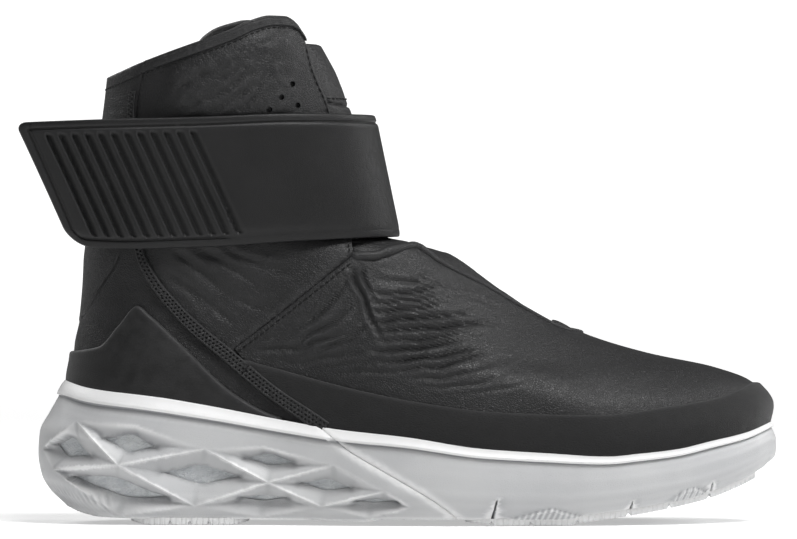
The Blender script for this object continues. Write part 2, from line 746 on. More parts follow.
def bumpNode(tree, heightOut, distance, strength=1.0, normal=None):
    bump = addNode(tree, "ShaderNodeBump")
    bump.inputs["Distance"].default_value = distance
    bump.inputs["Strength"].default_value = strength
    join(tree, heightOut, bump.inputs["Height"])
    if normal is not None:
        join(tree, normal, bump.inputs["Normal"])
    return bump.outputs["Normal"]


def newFinish(name):
    made = bpy.data.materials.new(name)
    made.use_nodes = True
    return made, made.node_tree, made.node_tree.nodes["Principled BSDF"]


def roughen(tree, shader, value, change, middle):
    spread = mathNode(tree, "MULTIPLY", value, change)
    join(tree, mathNode(tree, "ADD", spread, middle), shader.inputs["Roughness"])


def leatherFinish(name, look):
    made, tree, shader = newFinish(name)
    grain = useGroup(tree, "grain", Scale=look["grain"], Pores=look["pores"])
    mottle = useGroup(tree, "mottle", Scale=38, Fine=520)
    wear = useGroup(tree, "wear", Spread=0.05)
    tone = blendColour(tree, mottle.outputs["Broad"], look["dark"], look["light"])
    rubbed = mathNode(tree, "MULTIPLY", wear.outputs["Edge"], look["rubbed"])
    tone = blendColour(tree, rubbed, tone, look["edge"])
    sunk = mathNode(tree, "MULTIPLY", wear.outputs["Hollow"], 0.6)
    join(tree, blendColour(tree, sunk, tone, look["deep"]), shader.inputs["Base Color"])
    rough = mathNode(tree, "MULTIPLY", mottle.outputs["Fine"], 0.10)
    crease = mathNode(tree, "MULTIPLY", grain.outputs["Border"], -0.06)
    rough = mathNode(tree, "ADD", mathNode(tree, "ADD", rough, crease), look["roughness"])
    join(tree, rough, shader.inputs["Roughness"])
    normal = bumpNode(tree, mottle.outputs["Fine"], 0.0001, 0.5)
    join(tree, bumpNode(tree, grain.outputs["Height"], look["depth"], 1.0, normal),
         shader.inputs["Normal"])
    shader.inputs["Specular IOR Level"].default_value = look["gloss"]
    return made


def nubuckFinish(name, look):
    made, tree, shader = newFinish(name)
    nap = useGroup(tree, "nap", Scale=look["nap"])
    wear = useGroup(tree, "wear", Spread=0.05)
    tone = blendColour(tree, nap.outputs["Tone"], look["dark"], look["light"])
    edge = mathNode(tree, "MULTIPLY", wear.outputs["Edge"], 0.5)
    join(tree, blendColour(tree, edge, tone, look["edge"]), shader.inputs["Base Color"])
    roughen(tree, shader, nap.outputs["Tone"], 0.12, look["roughness"])
    join(tree, bumpNode(tree, nap.outputs["Height"], look["depth"]), shader.inputs["Normal"])
    shader.inputs["Specular IOR Level"].default_value = look["gloss"]
    shader.inputs["Sheen Weight"].default_value = look["sheen"]
    shader.inputs["Sheen Roughness"].default_value = 0.45
    return made


def rubberFinish(name, look):
    made, tree, shader = newFinish(name)
    mottle = useGroup(tree, "mottle", Scale=look["broad"], Fine=look["fine"])
    wear = useGroup(tree, "wear", Spread=look["spread"])
    tone = blendColour(tree, mottle.outputs["Broad"], look["dark"], look["light"])
    tone = blendColour(tree, mathNode(tree, "MULTIPLY", wear.outputs["Edge"], look["rubbed"]),
                       tone, look["edge"])
    tone = blendColour(tree, mathNode(tree, "MULTIPLY", wear.outputs["Hollow"], look["dirt"]),
                       tone, look["deep"])
    join(tree, tone, shader.inputs["Base Color"])
    roughen(tree, shader, mottle.outputs["Fine"], look["change"], look["roughness"])
    join(tree, bumpNode(tree, mottle.outputs["Fine"], look["depth"]), shader.inputs["Normal"])
    shader.inputs["Specular IOR Level"].default_value = look["gloss"]
    shader.inputs["Coat Weight"].default_value = look["coat"]
    shader.inputs["Coat Roughness"].default_value = 0.35
    shader.inputs["Subsurface Weight"].default_value = look["glow"]
    shader.inputs["Subsurface Radius"].default_value = (0.003, 0.003, 0.003)
    shader.inputs["Subsurface Scale"].default_value = 0.3
    return made


def liningFinish(name, look):
    made, tree, shader = newFinish(name)
    weave = useGroup(tree, "weave", Scale=look["weave"])
    mottle = useGroup(tree, "mottle", Scale=60, Fine=900)
    tone = blendColour(tree, mottle.outputs["Broad"], look["dark"], look["light"])
    join(tree, blendColour(tree, weave.outputs["Gap"], tone, look["deep"]),
         shader.inputs["Base Color"])
    roughen(tree, shader, mottle.outputs["Fine"], 0.1, look["roughness"])
    join(tree, bumpNode(tree, weave.outputs["Height"], 0.0003), shader.inputs["Normal"])
    shader.inputs["Sheen Weight"].default_value = 0.25
    return made


leatherLook = {"grain": 1050, "pores": 0.12, "depth": 0.00008, "roughness": 0.46,
               "dark": (0.0085, 0.0085, 0.0089), "light": (0.0130, 0.0130, 0.0136),
               "deep": (0.0035, 0.0035, 0.0038), "edge": (0.030, 0.030, 0.031), "rubbed": 0.5,
               "gloss": 0.33}
smoothLook = dict(leatherLook, grain=1500, depth=0.00008, roughness=0.46)
nubuckLook = {"nap": 2600, "depth": 0.00035, "roughness": 0.74, "sheen": 0.15,
              "dark": (0.0064, 0.0064, 0.0066), "light": (0.0112, 0.0112, 0.0115),
              "edge": (0.030, 0.030, 0.031), "gloss": 0.3}
counterLook = dict(nubuckLook, nap=1800, depth=0.00012, roughness=0.55, sheen=0.1)
strapLook = {"broad": 30, "fine": 3200, "spread": 0.03, "dark": (0.0046, 0.0046, 0.0048),
             "light": (0.0080, 0.0080, 0.0083), "edge": (0.024, 0.024, 0.025), "rubbed": 0.45,
             "deep": (0.0022, 0.0022, 0.0024), "dirt": 0.8, "roughness": 0.40, "change": 0.08,
             "depth": 0.00004, "coat": 0.0, "glow": 0.0, "gloss": 0.3}
whiteLook = {"broad": 25, "fine": 2400, "spread": 0.035, "dark": (0.42, 0.425, 0.435),
             "light": (0.48, 0.485, 0.49), "edge": (0.78, 0.78, 0.78), "rubbed": 0.8,
             "deep": (0.20, 0.205, 0.215), "dirt": 0.75, "roughness": 0.42, "change": 0.10,
             "depth": 0.00005, "coat": 0.08, "glow": 0.08, "gloss": 0.45}
lipLook = dict(whiteLook, dark=(0.64, 0.64, 0.645), light=(0.69, 0.69, 0.69), dirt=0.4)
treadLook = dict(whiteLook, roughness=0.55, coat=0.0, dirt=0.9, deep=(0.22, 0.22, 0.23))
foamLook = dict(whiteLook, broad=120, fine=1400, dark=(0.46, 0.48, 0.50), light=(0.58, 0.60, 0.61),
                roughness=0.6, depth=0.00025, coat=0.0, deep=(0.22, 0.23, 0.24))
liningLook = {"weave": 520, "roughness": 0.8, "dark": (0.016, 0.016, 0.017),
              "light": (0.024, 0.024, 0.025), "deep": (0.004, 0.004, 0.004)}
threadLook = dict(strapLook, fine=5000, roughness=0.6, light=(0.024, 0.024, 0.025), depth=0.0001)

leather = leatherFinish("blackLeather", leatherLook)
smoothLeather = leatherFinish("smoothBlackLeather", smoothLook)
nubuck = nubuckFinish("blackNubuck", nubuckLook)
counterSkin = nubuckFinish("counterSkin", counterLook)
strapRubber = rubberFinish("mouldedStrap", strapLook)
whiteRubber = rubberFinish("whiteRubber", whiteLook)
lipRubber = rubberFinish("lipRubber", lipLook)
treadRubber = rubberFinish("treadRubber", treadLook)
windowFoam = rubberFinish("windowFoam", foamLook)
lining = liningFinish("knitLining", liningLook)
insoleCloth = liningFinish("insoleCloth", dict(liningLook, weave=900))
thread = rubberFinish("blackThread", threadLook)
print("finishes made")

# Upper: the leather between the sole, the throat and the collar
girth = 700 * mm      # scale of a full turn in the flat patterns
levelRise = np.array([0, 24, 33, 43, 53, 62, 71, 82, 90, 93, 96, 111, 128, 148, 163, 178, 194]) * mm


def toPattern(level, turn):
    return np.stack([turn * girth, np.interp(level, np.arange(topRing + 1), levelRise)], -1)


def fromPattern(a, b):
    return np.interp(b, levelRise, np.arange(topRing + 1)), a / girth


def onUpper(a, b):
    level, turn = fromPattern(a, b)      # level and turn, and the place seen from the side
    base = upperBase(level, turn)
    return level, turn, base[:, 0], base[:, 2]


def pinned(points, side, rear=False):
    points = np.asarray(points, float)      # a side line in metres, laid on the pattern
    level, turn = upperPin(points[:, 0], points[:, 1], side)
    if rear:
        turn = np.where(turn > 0.5, turn - 1, turn)
    return toPattern(level, turn)


def sidePoints(rows):
    rows = np.asarray(rows, float)      # place and step to metres
    return np.stack([along(rows[:, 0]), height(rows[:, 1])], 1)


quarterSeam = np.array([(21.2, 70.6), (34, 80.2), (51, 93.6), (68.2, 107.4)]) * mm
seamFoot = [(0.366, 0.800), (0.327, 0.950)]
throatCorner = 5      # row of the throat line where shaft and vamp meet
panelFoot = 0.93      # level at which the leather ends behind the sole's lip
throatTip = toPattern(np.array([5.92]), np.array([0.5]))      # on the front line

upperSizes = {
    "pitch": 1.35 * mm, "fine": 0.72 * mm,
    "wall": 1.8 * mm,
    "seamDepth": 0.55 * mm,
    "seamHalf": 0.45 * mm,
    "holeRadius": 1.15 * mm,
    "holeDepth": 1.5 * mm,
    "creaseDeep": 1.15,         # times the depth and half width given with each crease
    "creaseNarrow": 0.85,
    "creaseNoise": 0.11 * mm,
    "earWrinkle": 0.62 * mm,
    "earWrinkleSize": 3.0 * mm,
    "earPad": 1.5 * mm,
    "ankleWrinkle": 0.22 * mm,
    "vampLap": 0.45 * mm,       # the vamp lies over the quarter along their seam
    "backLap": 0.35 * mm,
}
# Creases: points along the crease in mm from the side, half width and depth in mm
vampCreases = [
    ([(68.8, 104.4), (70.8, 97.2), (73.6, 89.6), (76.4, 82.4), (82.6, 73.0)], 1.9, 0.75),
    ([(72.8, 104.0), (75.2, 96.8), (78.4, 89.6)], 1.5, 0.50),
    ([(80.4, 98.4), (90, 98.0), (96, 98.8), (104, 101.8)], 1.6, 0.55),
    ([(78.2, 93.6), (86, 92.9), (92.8, 93.7), (100.8, 95.6), (109, 97.0)], 1.6, 0.65),
    ([(75.8, 89.6), (86, 89.2), (97.6, 90.6), (107, 92.6)], 1.4, 0.50),
    ([(76.6, 86.0), (86, 85.8), (96, 87.0), (108.2, 88.8)], 1.5, 0.60),
    ([(76.8, 81.8), (88, 82.2), (100, 83.4), (119, 85.6)], 1.6, 0.75),
    ([(78.2, 78.0), (89.2, 78.2), (102.4, 79.4), (116, 80.6), (128, 81.6)], 1.6, 0.80),
    ([(80, 74.0), (92, 74.4), (104, 76.0), (121, 78.0)], 1.4, 0.60),
    ([(75.6, 70.0), (86, 70.2), (96.8, 71.8), (108, 74.0), (118, 76.4)], 1.6, 0.75),
    ([(80, 65.8), (90, 66.2), (104, 68.4), (121.2, 73.0)], 1.6, 0.75),
    ([(86, 62.2), (98, 62.8), (110, 65.6), (126, 70.6)], 1.5, 0.60),
    ([(92, 58.2), (104, 59.2), (118, 62.4), (133.2, 67.8)], 1.5, 0.50),
    ([(100, 55.2), (114, 56.2), (128, 59.8), (142, 66.6)], 1.4, 0.35),
    ([(116, 53.4), (132, 55.0), (148, 60.0)], 1.4, 0.25),
    ([(26, 68.8), (48, 71.8), (73, 78.4)], 2.0, 0.60),
    ([(34, 64.0), (56, 66.4), (78, 70.0)], 2.0, 0.50),
    ([(44, 71.8), (60, 82.0), (71.8, 91.4)], 2.0, 0.60),
    ([(48, 79.4), (62, 91.0), (68, 100.4)], 1.8, 0.50),
    ([(55, 68.8), (68, 75.0), (75, 82.4)], 1.7, 0.45),
    ([(104, 96.0), (112, 95.4), (124, 92.6)], 1.5, 0.25),
    ([(108, 91.4), (118, 90.6), (130, 86.6)], 1.5, 0.25),
    ([(60, 60.5), (78, 62.0), (90, 60.5)], 1.7, 0.30),
]
quarterCreases = [
    ([(-2, 110.5), (8, 101.4), (18.4, 93.4)], 3.0, 0.80),
    ([(8, 110.4), (20, 103.4), (31, 96.4)], 3.0, 0.75),
    ([(20, 109.4), (33, 104.0), (46, 101.0)], 2.6, 0.50),
    ([(-6, 101.4), (4, 92.4), (12, 84.0)], 2.6, 0.50),
    ([(2, 96.4), (12, 88.0), (22, 80.4)], 2.4, 0.45),
    ([(20, 92.4), (30, 88.4), (42, 89.4)], 2.2, 0.35),
    ([(0, 176.4), (10, 181.0), (22, 187.4)], 2.2, 0.30),
    ([(4, 168.4), (15, 173.4), (26, 181.4)], 2.2, 0.35),
    ([(14, 166.4), (24, 173.0), (33, 183.4)], 2.2, 0.35),
    ([(24, 167.4), (31, 175.4), (37, 187.4)], 2.0, 0.30),
    ([(8, 186.4), (17, 190.4), (27, 195.4)], 2.0, 0.25),
]


def creaseRelief(x, z, creases, seed):
    # soft troughs with raised shoulders, wandering a little off their line
    wx = x + softNoise(x / (9 * mm), z / (9 * mm), seed) * 1.0 * mm
    wz = z + softNoise(x / (8 * mm), z / (8 * mm), seed + 1) * 0.8 * mm
    relief = np.zeros(x.shape)
    for points, half, depth in creases:
        line = curved(np.array(points) * mm)
        near = ((wx > line[:, 0].min() - 8 * mm) & (wx < line[:, 0].max() + 8 * mm)
                & (wz > line[:, 1].min() - 8 * mm) & (wz < line[:, 1].max() + 8 * mm))
        if not near.any():
            continue
        gap, share = lineDistance(wx[near], wz[near], line)[:2]
        gap = gap / (half * upperSizes["creaseNarrow"] * mm)
        taper = np.sin(np.clip(share, 0.01, 0.99) ** 0.75 * math.pi) ** 0.6
        trough = (0.45 * np.exp(-((gap - 1.3) * 1.5) ** 2) - 0.75 * np.exp(-(gap * 1.4) ** 2)
                  - 0.35 * np.exp(-(gap * 3.0) ** 2))
        relief[near] += trough * taper * depth * upperSizes["creaseDeep"] * mm
    return relief


def wrinkleRelief(x, z, seed, size=3.4 * mm):
    # small wrinkles that run up and forward
    a = (x * 0.92 + z * 0.39) / (size * 2.6)
    b = (z * 0.92 - x * 0.39) / size
    return ((0.5 - np.abs(softNoise(a, b, seed))) * 1.2
            + (0.5 - np.abs(softNoise(a * 2.1, b * 2.1, seed + 3))) * 0.5)


def seamRelief(x, z, line, half, depth):
    gap = lineDistance(x, z, line)[0]
    return -depth * np.clip(1 - gap / half, 0, 1)


def throatEdge(side):
    rows = np.array(throatLine[throatCorner:])
    dense = np.stack([np.linspace(rows[0, 0], rows[-1, 0], 90)] * 2, 1)
    dense[:, 1] = through(rows, dense[:, 0])
    return pinned(sidePoints(dense), side)


def vampOutline():
    outer = np.vstack([pinned(sidePoints(seamFoot), -1),
                       pinned(curved(quarterSeam, 8), -1), throatEdge(-1)])
    inner = outer[::-1] * [-1, 1] + [girth, 0]
    turns = np.linspace(inner[-1, 0], outer[0, 0], 160) / girth
    return np.vstack([outer, throatTip, inner, toPattern(np.full(turns.shape, panelFoot), turns)])


def placeVamp(a, b):
    level, turn, x, z = onUpper(a, b)
    inner = turn > 0.5
    lift = creaseRelief(x + inner * 2.5 * mm, z, vampCreases, 11)
    worn = (smoothStep(18 * mm, 50 * mm, x) * smoothStep(165 * mm, 118 * mm, x)
            * smoothStep(48 * mm, 60 * mm, z + 0.05 * (x - 90 * mm)))
    lift += worn * wrinkleRelief(x + inner * 0.1, z, 21) * upperSizes["creaseNoise"]
    lift += smoothStep(9 * mm, 0, lineDistance(x, z, quarterSeam)[0]) * upperSizes["vampLap"]
    fold = smoothStep(0, 9 * mm, z - sideLine(guardTop, x))
    front = smoothStep(0.36, 0.46, turn) * smoothStep(0.64, 0.54, turn)
    fade = 1 - front * smoothStep(125 * mm, 95 * mm, x) * 0.5
    return lifted(upperBase, level, turn, lift * fold * fade + 0.15 * mm)


def makeVamp():
    zone = np.array([(22, 62), (66, 58), (92, 52), (150, 50), (152, 62), (126, 88), (106, 102.6),
                     (82, 102), (68, 103)]) * mm
    fine = [(pinned(evenly(zone, 4 * mm, closed=True), side), upperSizes["fine"]) for side in (-1, 1)]
    piece = sheetOf("vamp", vampOutline(), [], upperSizes["pitch"], placeVamp,
                    [leather, lining], fine=fine)
    thicken(piece, upperSizes["wall"], 1)
    finishPiece(piece, "black_leather", "upper")


backSeam = np.array([(-25.0, 108.6), (-27.2, 103.8), (-30.9, 98.6), (-33.8, 94.5), (-36.4, 89.4),
                     (-39.0, 85.3), (-40.5, 83.8)]) * mm
collarSeam = np.array([(-14.6, 184.5), (-16.6, 176.5), (-17.8, 170.8), (-18.2, 163.5), (-18.5, 140)]) * mm
earHoles = np.array([(44.6, 177.0), (40.0, 171.6), (46.9, 168.5), (35.4, 166.6)]) * mm


def collarEdge(side, count=110):
    rows = outerCollar if side < 0 else innerCollar
    start = upperPin(along(rows[-1][0]), height(rows[-1][1]), side)[1]
    if side > 0:
        start = 1 - start
    turns = np.linspace(float(start), 0, count)
    level = upperLevel(turns if side < 0 else 1 - turns, lambda x: sideLine(rows, x))
    return level, turns * (1 if side < 0 else -1)


def shaftFront(side):
    rows = np.array(throatLine[:throatCorner + 1])[::-1]
    steps = np.linspace(rows[0, 1], rows[-1, 1], 60)
    order = rows[np.argsort(rows[:, 1])]
    places = through(order[:, ::-1], steps)
    return pinned(sidePoints(np.stack([places, steps], 1)), side, rear=True)


def quarterOutline():
    halves = []
    for side in (-1, 1):
        lower = np.vstack([pinned(sidePoints(seamFoot), side, True),
                           pinned(curved(quarterSeam - [0.0, 0.4 * mm], 8), side, True)])
        level, turns = collarEdge(side)
        halves.append(np.vstack([lower, shaftFront(side), toPattern(level, turns)]))
    outer, inner = halves
    turns = np.linspace(inner[0, 0], outer[0, 0], 140) / girth
    low = toPattern(np.full(turns.shape, panelFoot), turns)
    return np.vstack([outer[:-1], inner[::-1], low])


def circleAt(centre, radius):
    count = 14
    angles = np.arange(count) * 2 * math.pi / count
    return centre + radius * np.stack([np.cos(angles), np.sin(angles)], 1)


def quarterRelief(level, turn):
    base = upperBase(level, turn)
    x, z = base[:, 0], base[:, 2]
    inner = turn < 0
    lift = creaseRelief(x + inner * 3 * mm, z, quarterCreases, 31)
    shaft = smoothStep(-12 * mm, 0, x) * smoothStep(50 * mm, 38 * mm, x)
    rim = np.where(inner, sideLine(innerCollar, x), sideLine(outerCollar, x))
    top = smoothStep(160 * mm, 170 * mm, z) * smoothStep(3 * mm, 12 * mm, rim - z)
    low = smoothStep(114 * mm, 108 * mm, z) * smoothStep(66 * mm, 80 * mm, z)
    lift += shaft * top * upperSizes["earWrinkle"] * wrinkleRelief(
        x + inner * 0.1, z, 41, upperSizes["earWrinkleSize"])
    lift += shaft * low * upperSizes["ankleWrinkle"] * wrinkleRelief(x + inner * 0.1, z, 51)
    lift += shaft * top * upperSizes["earPad"]
    half, depth = upperSizes["seamHalf"], upperSizes["seamDepth"]
    gap, sign = lineDistance(x, z, backSeam)[::2]
    behind = smoothStep(-0.3 * mm, 0.3 * mm, gap * -sign) * smoothStep(114 * mm, 106 * mm, z)
    lift += upperSizes["backLap"] * behind + seamRelief(x, z, backSeam, half, depth)
    lift += seamRelief(x, z, collarSeam, half, depth)
    gap = lineDistance(x, z, collarSeam)[0]
    lift += upperSizes["backLap"] * (smoothStep(0, 3 * mm, gap) * smoothStep(9 * mm, 3 * mm, gap)
                                     * (z > 140 * mm))
    for hole in earHoles:
        away = np.hypot(x - hole[0], z - hole[1])
        deep = np.clip((upperSizes["holeRadius"] - away) / (0.15 * mm), 0, 1)
        lift -= upperSizes["holeDepth"] * deep * ~inner
    return lift


def placeQuarter(a, b):
    level, turn = fromPattern(a, b)
    return lifted(upperBase, level, turn, quarterRelief(level, turn))


def makeQuarter():
    features = []
    half = upperSizes["seamHalf"]
    for seam in (backSeam, collarSeam):
        for side in (-1, 1):
            dense = evenly(curved(seam, 6), 1.0 * mm)
            features += [(pinned(beside(dense, shift), side, True), False)
                         for shift in (-half, 0, half)]
    for hole in earHoles:
        for radius in (upperSizes["holeRadius"], upperSizes["holeRadius"] - 0.16 * mm):
            features.append((pinned(circleAt(hole, radius), -1, True), True))
    piece = sheetOf("quarter", quarterOutline(), features, upperSizes["pitch"] * 1.05,
                    placeQuarter, [leather, lining])
    thicken(piece, upperSizes["wall"], 1)
    finishPiece(piece, "black_leather")


makeVamp()
makeQuarter()
print("upper made")


def gridObject(name, points, finishes, wrap=False, sharp=40):
    rows, columns = points.shape[:2]      # points[row, column] joined into four-sided faces
    i, k = np.meshgrid(np.arange(rows - 1), np.arange(columns if wrap else columns - 1),
                       indexing="ij")
    following = (k + 1) % columns
    faces = np.stack([i * columns + k, i * columns + following, (i + 1) * columns + following,
                      (i + 1) * columns + k], -1).reshape(-1, 4)
    return meshObject(name, points.reshape(-1, 3), faces, finishes, sharp=sharp)


def edgeRise(gap, edge, rise):
    t = np.clip(gap / edge, 0, 1)
    return rise * np.sqrt(np.clip(1 - (1 - t) ** 2, 0, 1))


def lineAtTurns(turns, rows, drop=0.0):
    # where each signed turn crosses a side line, on the pattern
    level = upperLevel(np.mod(turns, 1.0), lambda x: sideLine(rows, x) - drop)
    return toPattern(level, turns)


def patternTurn(share, step, side):
    return float(upperPin(along(share), height(step), side)[1])


# Mudguard: raised nubuck round the forefoot
def makeMudguard():
    look = {"rise": 1.7 * mm, "edge": 1.2 * mm, "seat": 0.2 * mm, "wall": 1.0 * mm}
    outerTop, innerTop = patternTurn(0.281, 1.214, -1), patternTurn(0.281, 1.214, 1)
    rear = [(0.366, 0.800), (0.327, 0.956), (0.275, 1.185)]
    turns = np.linspace(outerTop, innerTop, 520)
    outer, inner = pinned(sidePoints(rear), -1), pinned(sidePoints(rear), 1)
    low = np.linspace(inner[0, 0], outer[0, 0], 260)[1:-1] / girth
    outline = np.vstack([outer, lineAtTurns(turns, guardTop), inner[::-1],
                         toPattern(np.full(low.shape, panelFoot), low)])
    features = [(lineAtTurns(turns, guardTop, drop * mm), False) for drop in (0.15, 0.45, 0.9, 1.5)]

    def place(a, b):
        level, turn, x, z = onUpper(a, b)
        gap = (sideLine(guardTop, x) - z) * 0.95
        lift = look["seat"] + edgeRise(gap, look["edge"], look["rise"])
        lift += 0.07 * mm * softNoise(x / (2.2 * mm), z / (1.8 * mm), 61)
        lift += 0.25 * mm * smoothStep(0, 9 * mm, gap)
        return lifted(upperBase, level, turn, lift)

    piece = sheetOf("mudguardPanel", outline, features, 1.5 * mm, place, [nubuck])
    thicken(piece, look["wall"])
    finishPiece(piece, "black_nubuck", "mudguard")


# Heel counter: smooth moulded panel with a peak on each side
def makeCounter():
    look = {"rise": 1.7 * mm, "edge": 1.4 * mm, "seat": 0.15 * mm, "wall": 1.2 * mm}
    start, end = patternTurn(0.332, 0.800, -1), patternTurn(0.332, 0.800, 1) - 1
    turns = np.linspace(start, end, 760)
    top = lineAtTurns(turns, counterTop)
    low = np.linspace(end, start, 200)[1:-1]
    outline = np.vstack([top, toPattern(np.full(low.shape, panelFoot), low)])
    dense = np.linspace(0.036, 0.332, 160)
    edgeLine = sidePoints(np.stack([dense, through(counterTop, dense)], 1))
    features = [(lineAtTurns(turns, counterTop, drop * mm), False) for drop in (0.3, 0.8, 1.6)]

    def place(a, b):
        level, turn, x, z = onUpper(a, b)
        gap = np.minimum(lineDistance(x, z, edgeLine)[0],
                         np.where(x < edgeLine[1, 0] + 2 * mm, sideLine(counterTop, x) - z, 1))
        lift = look["seat"] + edgeRise(np.maximum(gap, 0), look["edge"], look["rise"])
        lift += 0.35 * mm * smoothStep(2 * mm, 7 * mm, gap)
        return lifted(upperBase, level, turn, lift)

    piece = sheetOf("heelCounter", outline, features, 1.5 * mm, place, [counterSkin])
    thicken(piece, look["wall"])
    finishPiece(piece, "black_nubuck", "heel_counter")


# Perforated bands from the sole up under the strap
def makeStrip(side, name, node):
    look = {"rise": 1.5 * mm, "edge": 0.6 * mm, "holePitch": 1.75 * mm, "holeRadius": 0.46 * mm,
            "holeDepth": 0.7 * mm, "spacing": 0.3 * mm, "lowStep": 0.722, "highStep": 2.67,
            "wall": 0.9 * mm}
    steps = np.linspace(look["lowStep"], look["highStep"], 300)
    places = through(np.array(stripLine)[:, ::-1], steps)
    centre = evenly(sidePoints(np.stack([places, steps], 1)), look["spacing"])
    gaps = np.linalg.norm(np.diff(centre, axis=0), axis=1)
    run = np.concatenate([[0], np.cumsum(gaps)])[:, None]
    z = centre[:, 1:] / mm
    half = np.interp(z, [44, 75, 100, 112, 165, 175], [3.0, 2.8, 2.1, 1.8, 1.35, 1.25]) * mm
    rise = np.interp(z, [44, 105, 118, 160, 175], [1, 1, 0.6, 0.45, 0.3]) * look["rise"]
    across = np.linspace(-1, 1, 25)[None, :]
    wayX, wayZ = np.gradient(centre[:, 0])[:, None], np.gradient(centre[:, 1])[:, None]
    size = np.hypot(wayX, wayZ)
    px = centre[:, :1] - wayZ / size * across * half
    pz = centre[:, 1:] + wayX / size * across * half
    lift = 0.3 * mm + edgeRise((1 - np.abs(across)) * half, look["edge"], rise)
    lift += 0.6 * mm * smoothStep(58, 70, z) * smoothStep(106, 94, z) + 0.9 * mm * (z < 62)
    wide = z < 92
    for place, shift, shown in ((-0.52, 0, wide), (0, 0.5, wide), (0.52, 0, wide),
                                (-0.36, 0, ~wide), (0.36, 0.5, ~wide)):
        row = (np.round(run / look["holePitch"] - shift) + shift) * look["holePitch"]
        away = np.hypot((across - place) * half, run - row)
        pit = smoothStep(look["holeRadius"], look["holeRadius"] * 0.55, away)
        lift -= pit * look["holeDepth"] * shown * np.clip(rise / look["rise"], 0.45, 1)
    level, turn = upperPin(px, pz, side)
    piece = gridObject(name, lifted(upperBase, level, turn, lift), [smoothLeather], sharp=60)
    faceOutward(piece)
    thicken(piece, look["wall"])
    finishPiece(piece, "black_leather", node)


def faceOutward(piece):
    # turns an open sheet so that most of it faces away from the shoe's middle line
    mesh = piece.data
    score = 0.0
    for face in list(mesh.polygons)[::7]:
        score += face.area * (face.normal.y * (face.center.y - float(bendAt(face.center.x))))
    if score < 0:
        mesh.flip_normals()


# Tongue: padded leather behind the throat, with a raised spine and a cross seam
def makeTongue():
    look = {"wall": 3.0 * mm, "behind": 2.5 * mm, "reach": 22 * mm, "lowReach": 15 * mm,
            "gusset": 38 * mm, "pad": 1.0 * mm, "spine": 0.3 * mm, "seam": 170.4 * mm,
            "seamDepth": 0.8 * mm, "seamPad": 0.4 * mm, "seamSlope": 0.12,
            "foldRise": 0.5 * mm, "foldSize": 2.9 * mm, "wrinkle": 0.12 * mm, "foot": 4.7, "top": 15.02}
    levels = np.concatenate([np.linspace(look["foot"], 8.0, 60),
                             np.linspace(8.05, look["top"], 190)])[:, None]
    across = np.linspace(-1, 1, 61)[None, :]
    reach = np.interp(levels, [look["foot"], 7.0, 8.5, 9.5, 11.0, 12.5],
                      [look["lowReach"], look["reach"], look["gusset"], look["gusset"],
                       look["gusset"] * 0.9, look["reach"]])
    reach = reach * np.sqrt(np.clip(1 - 0.55 * np.clip((levels - 14.3) / 0.75, 0, 1) ** 2, 0, 1))
    start = frontTurn(levels, reach)
    turn = start + (1 - 2 * start) * (across + 1) / 2
    levels = np.broadcast_to(levels, turn.shape)
    base = upperBase(levels, turn)
    x, z = base[..., 0], base[..., 2]
    roundEdge = np.sqrt(np.clip(1 - np.abs(across) ** 6, 0, 1))
    endEdge = (np.sqrt(np.clip((look["top"] - levels) / 0.12, 0, 1))
               * np.sqrt(np.clip((levels - look["foot"]) / 0.3, 0, 1)))
    full = np.minimum(roundEdge, endEdge)
    shaft = smoothStep(10.2, 11.4, levels)
    relief = look["pad"] * (1 - across ** 2) * shaft
    relief += look["spine"] * smoothStep(0.36, 0.24, np.abs(across)) * (1 - shaft)
    relief += look["foldRise"] * smoothStep(8.4, 9.4, levels) * smoothStep(10.8, 9.8, levels) * (
        np.cos((z - 100 * mm) / look["foldSize"]) + 1)
    seam = z - look["seam"] + (x - 60 * mm) * look["seamSlope"]
    relief -= look["seamDepth"] * np.clip(1 - np.abs(seam) / (0.7 * mm), 0, 1)
    relief += look["seamPad"] * smoothStep(0, -2 * mm, seam) * smoothStep(-16 * mm, -2 * mm, seam)
    relief += look["wrinkle"] * wrinkleRelief(x, z + across * 20 * mm, 71) * (1 - shaft * 0.5)
    top = lifted(upperBase, levels, turn, -look["behind"] - look["wall"] / 2
                 + (look["wall"] / 2 + relief) * full)
    back = lifted(upperBase, levels, turn, -look["behind"] - look["wall"] / 2
                  - look["wall"] / 2 * full)
    piece = loft("tonguePad", np.concatenate([top, back[:, ::-1]], 1), [leather])
    finishPiece(piece, "black_leather", "tongue")
    row = np.linspace(-0.66, 0.66, 60)
    seamLevel = float(upperPin(64 * mm, look["seam"] + 1.7 * mm, -1)[0])
    start = frontTurn(np.full(row.shape, seamLevel), np.full(row.shape, look["reach"]))
    turns = start + (1 - 2 * start) * (row + 1) / 2
    line = lifted(upperBase, seamLevel, turns, -look["behind"] + look["pad"] * (1 - row ** 2))
    made = stitches("tongueStitches", line, squareTo(upperBase, np.full(row.shape, seamLevel), turns),
                    thread)
    finishPiece(made, "black_leather")


# Collar: padded knit lining, and a leather binding folded over the rim
def collarRun():
    outerLevel, outerTurn = collarEdge(-1, 190)
    innerLevel, innerTurn = collarEdge(1, 190)
    return (np.concatenate([outerLevel, innerLevel[-2::-1]]),
            np.concatenate([outerTurn, innerTurn[-2::-1]]))


def rimFrame(level, turn):
    place, normal = upperBase(level, turn), squareTo(upperBase, level, turn)
    up = upperBase(level + 0.02, turn) - upperBase(level - 0.02, turn)
    return place, normal, up / np.linalg.norm(up, axis=-1, keepdims=True)


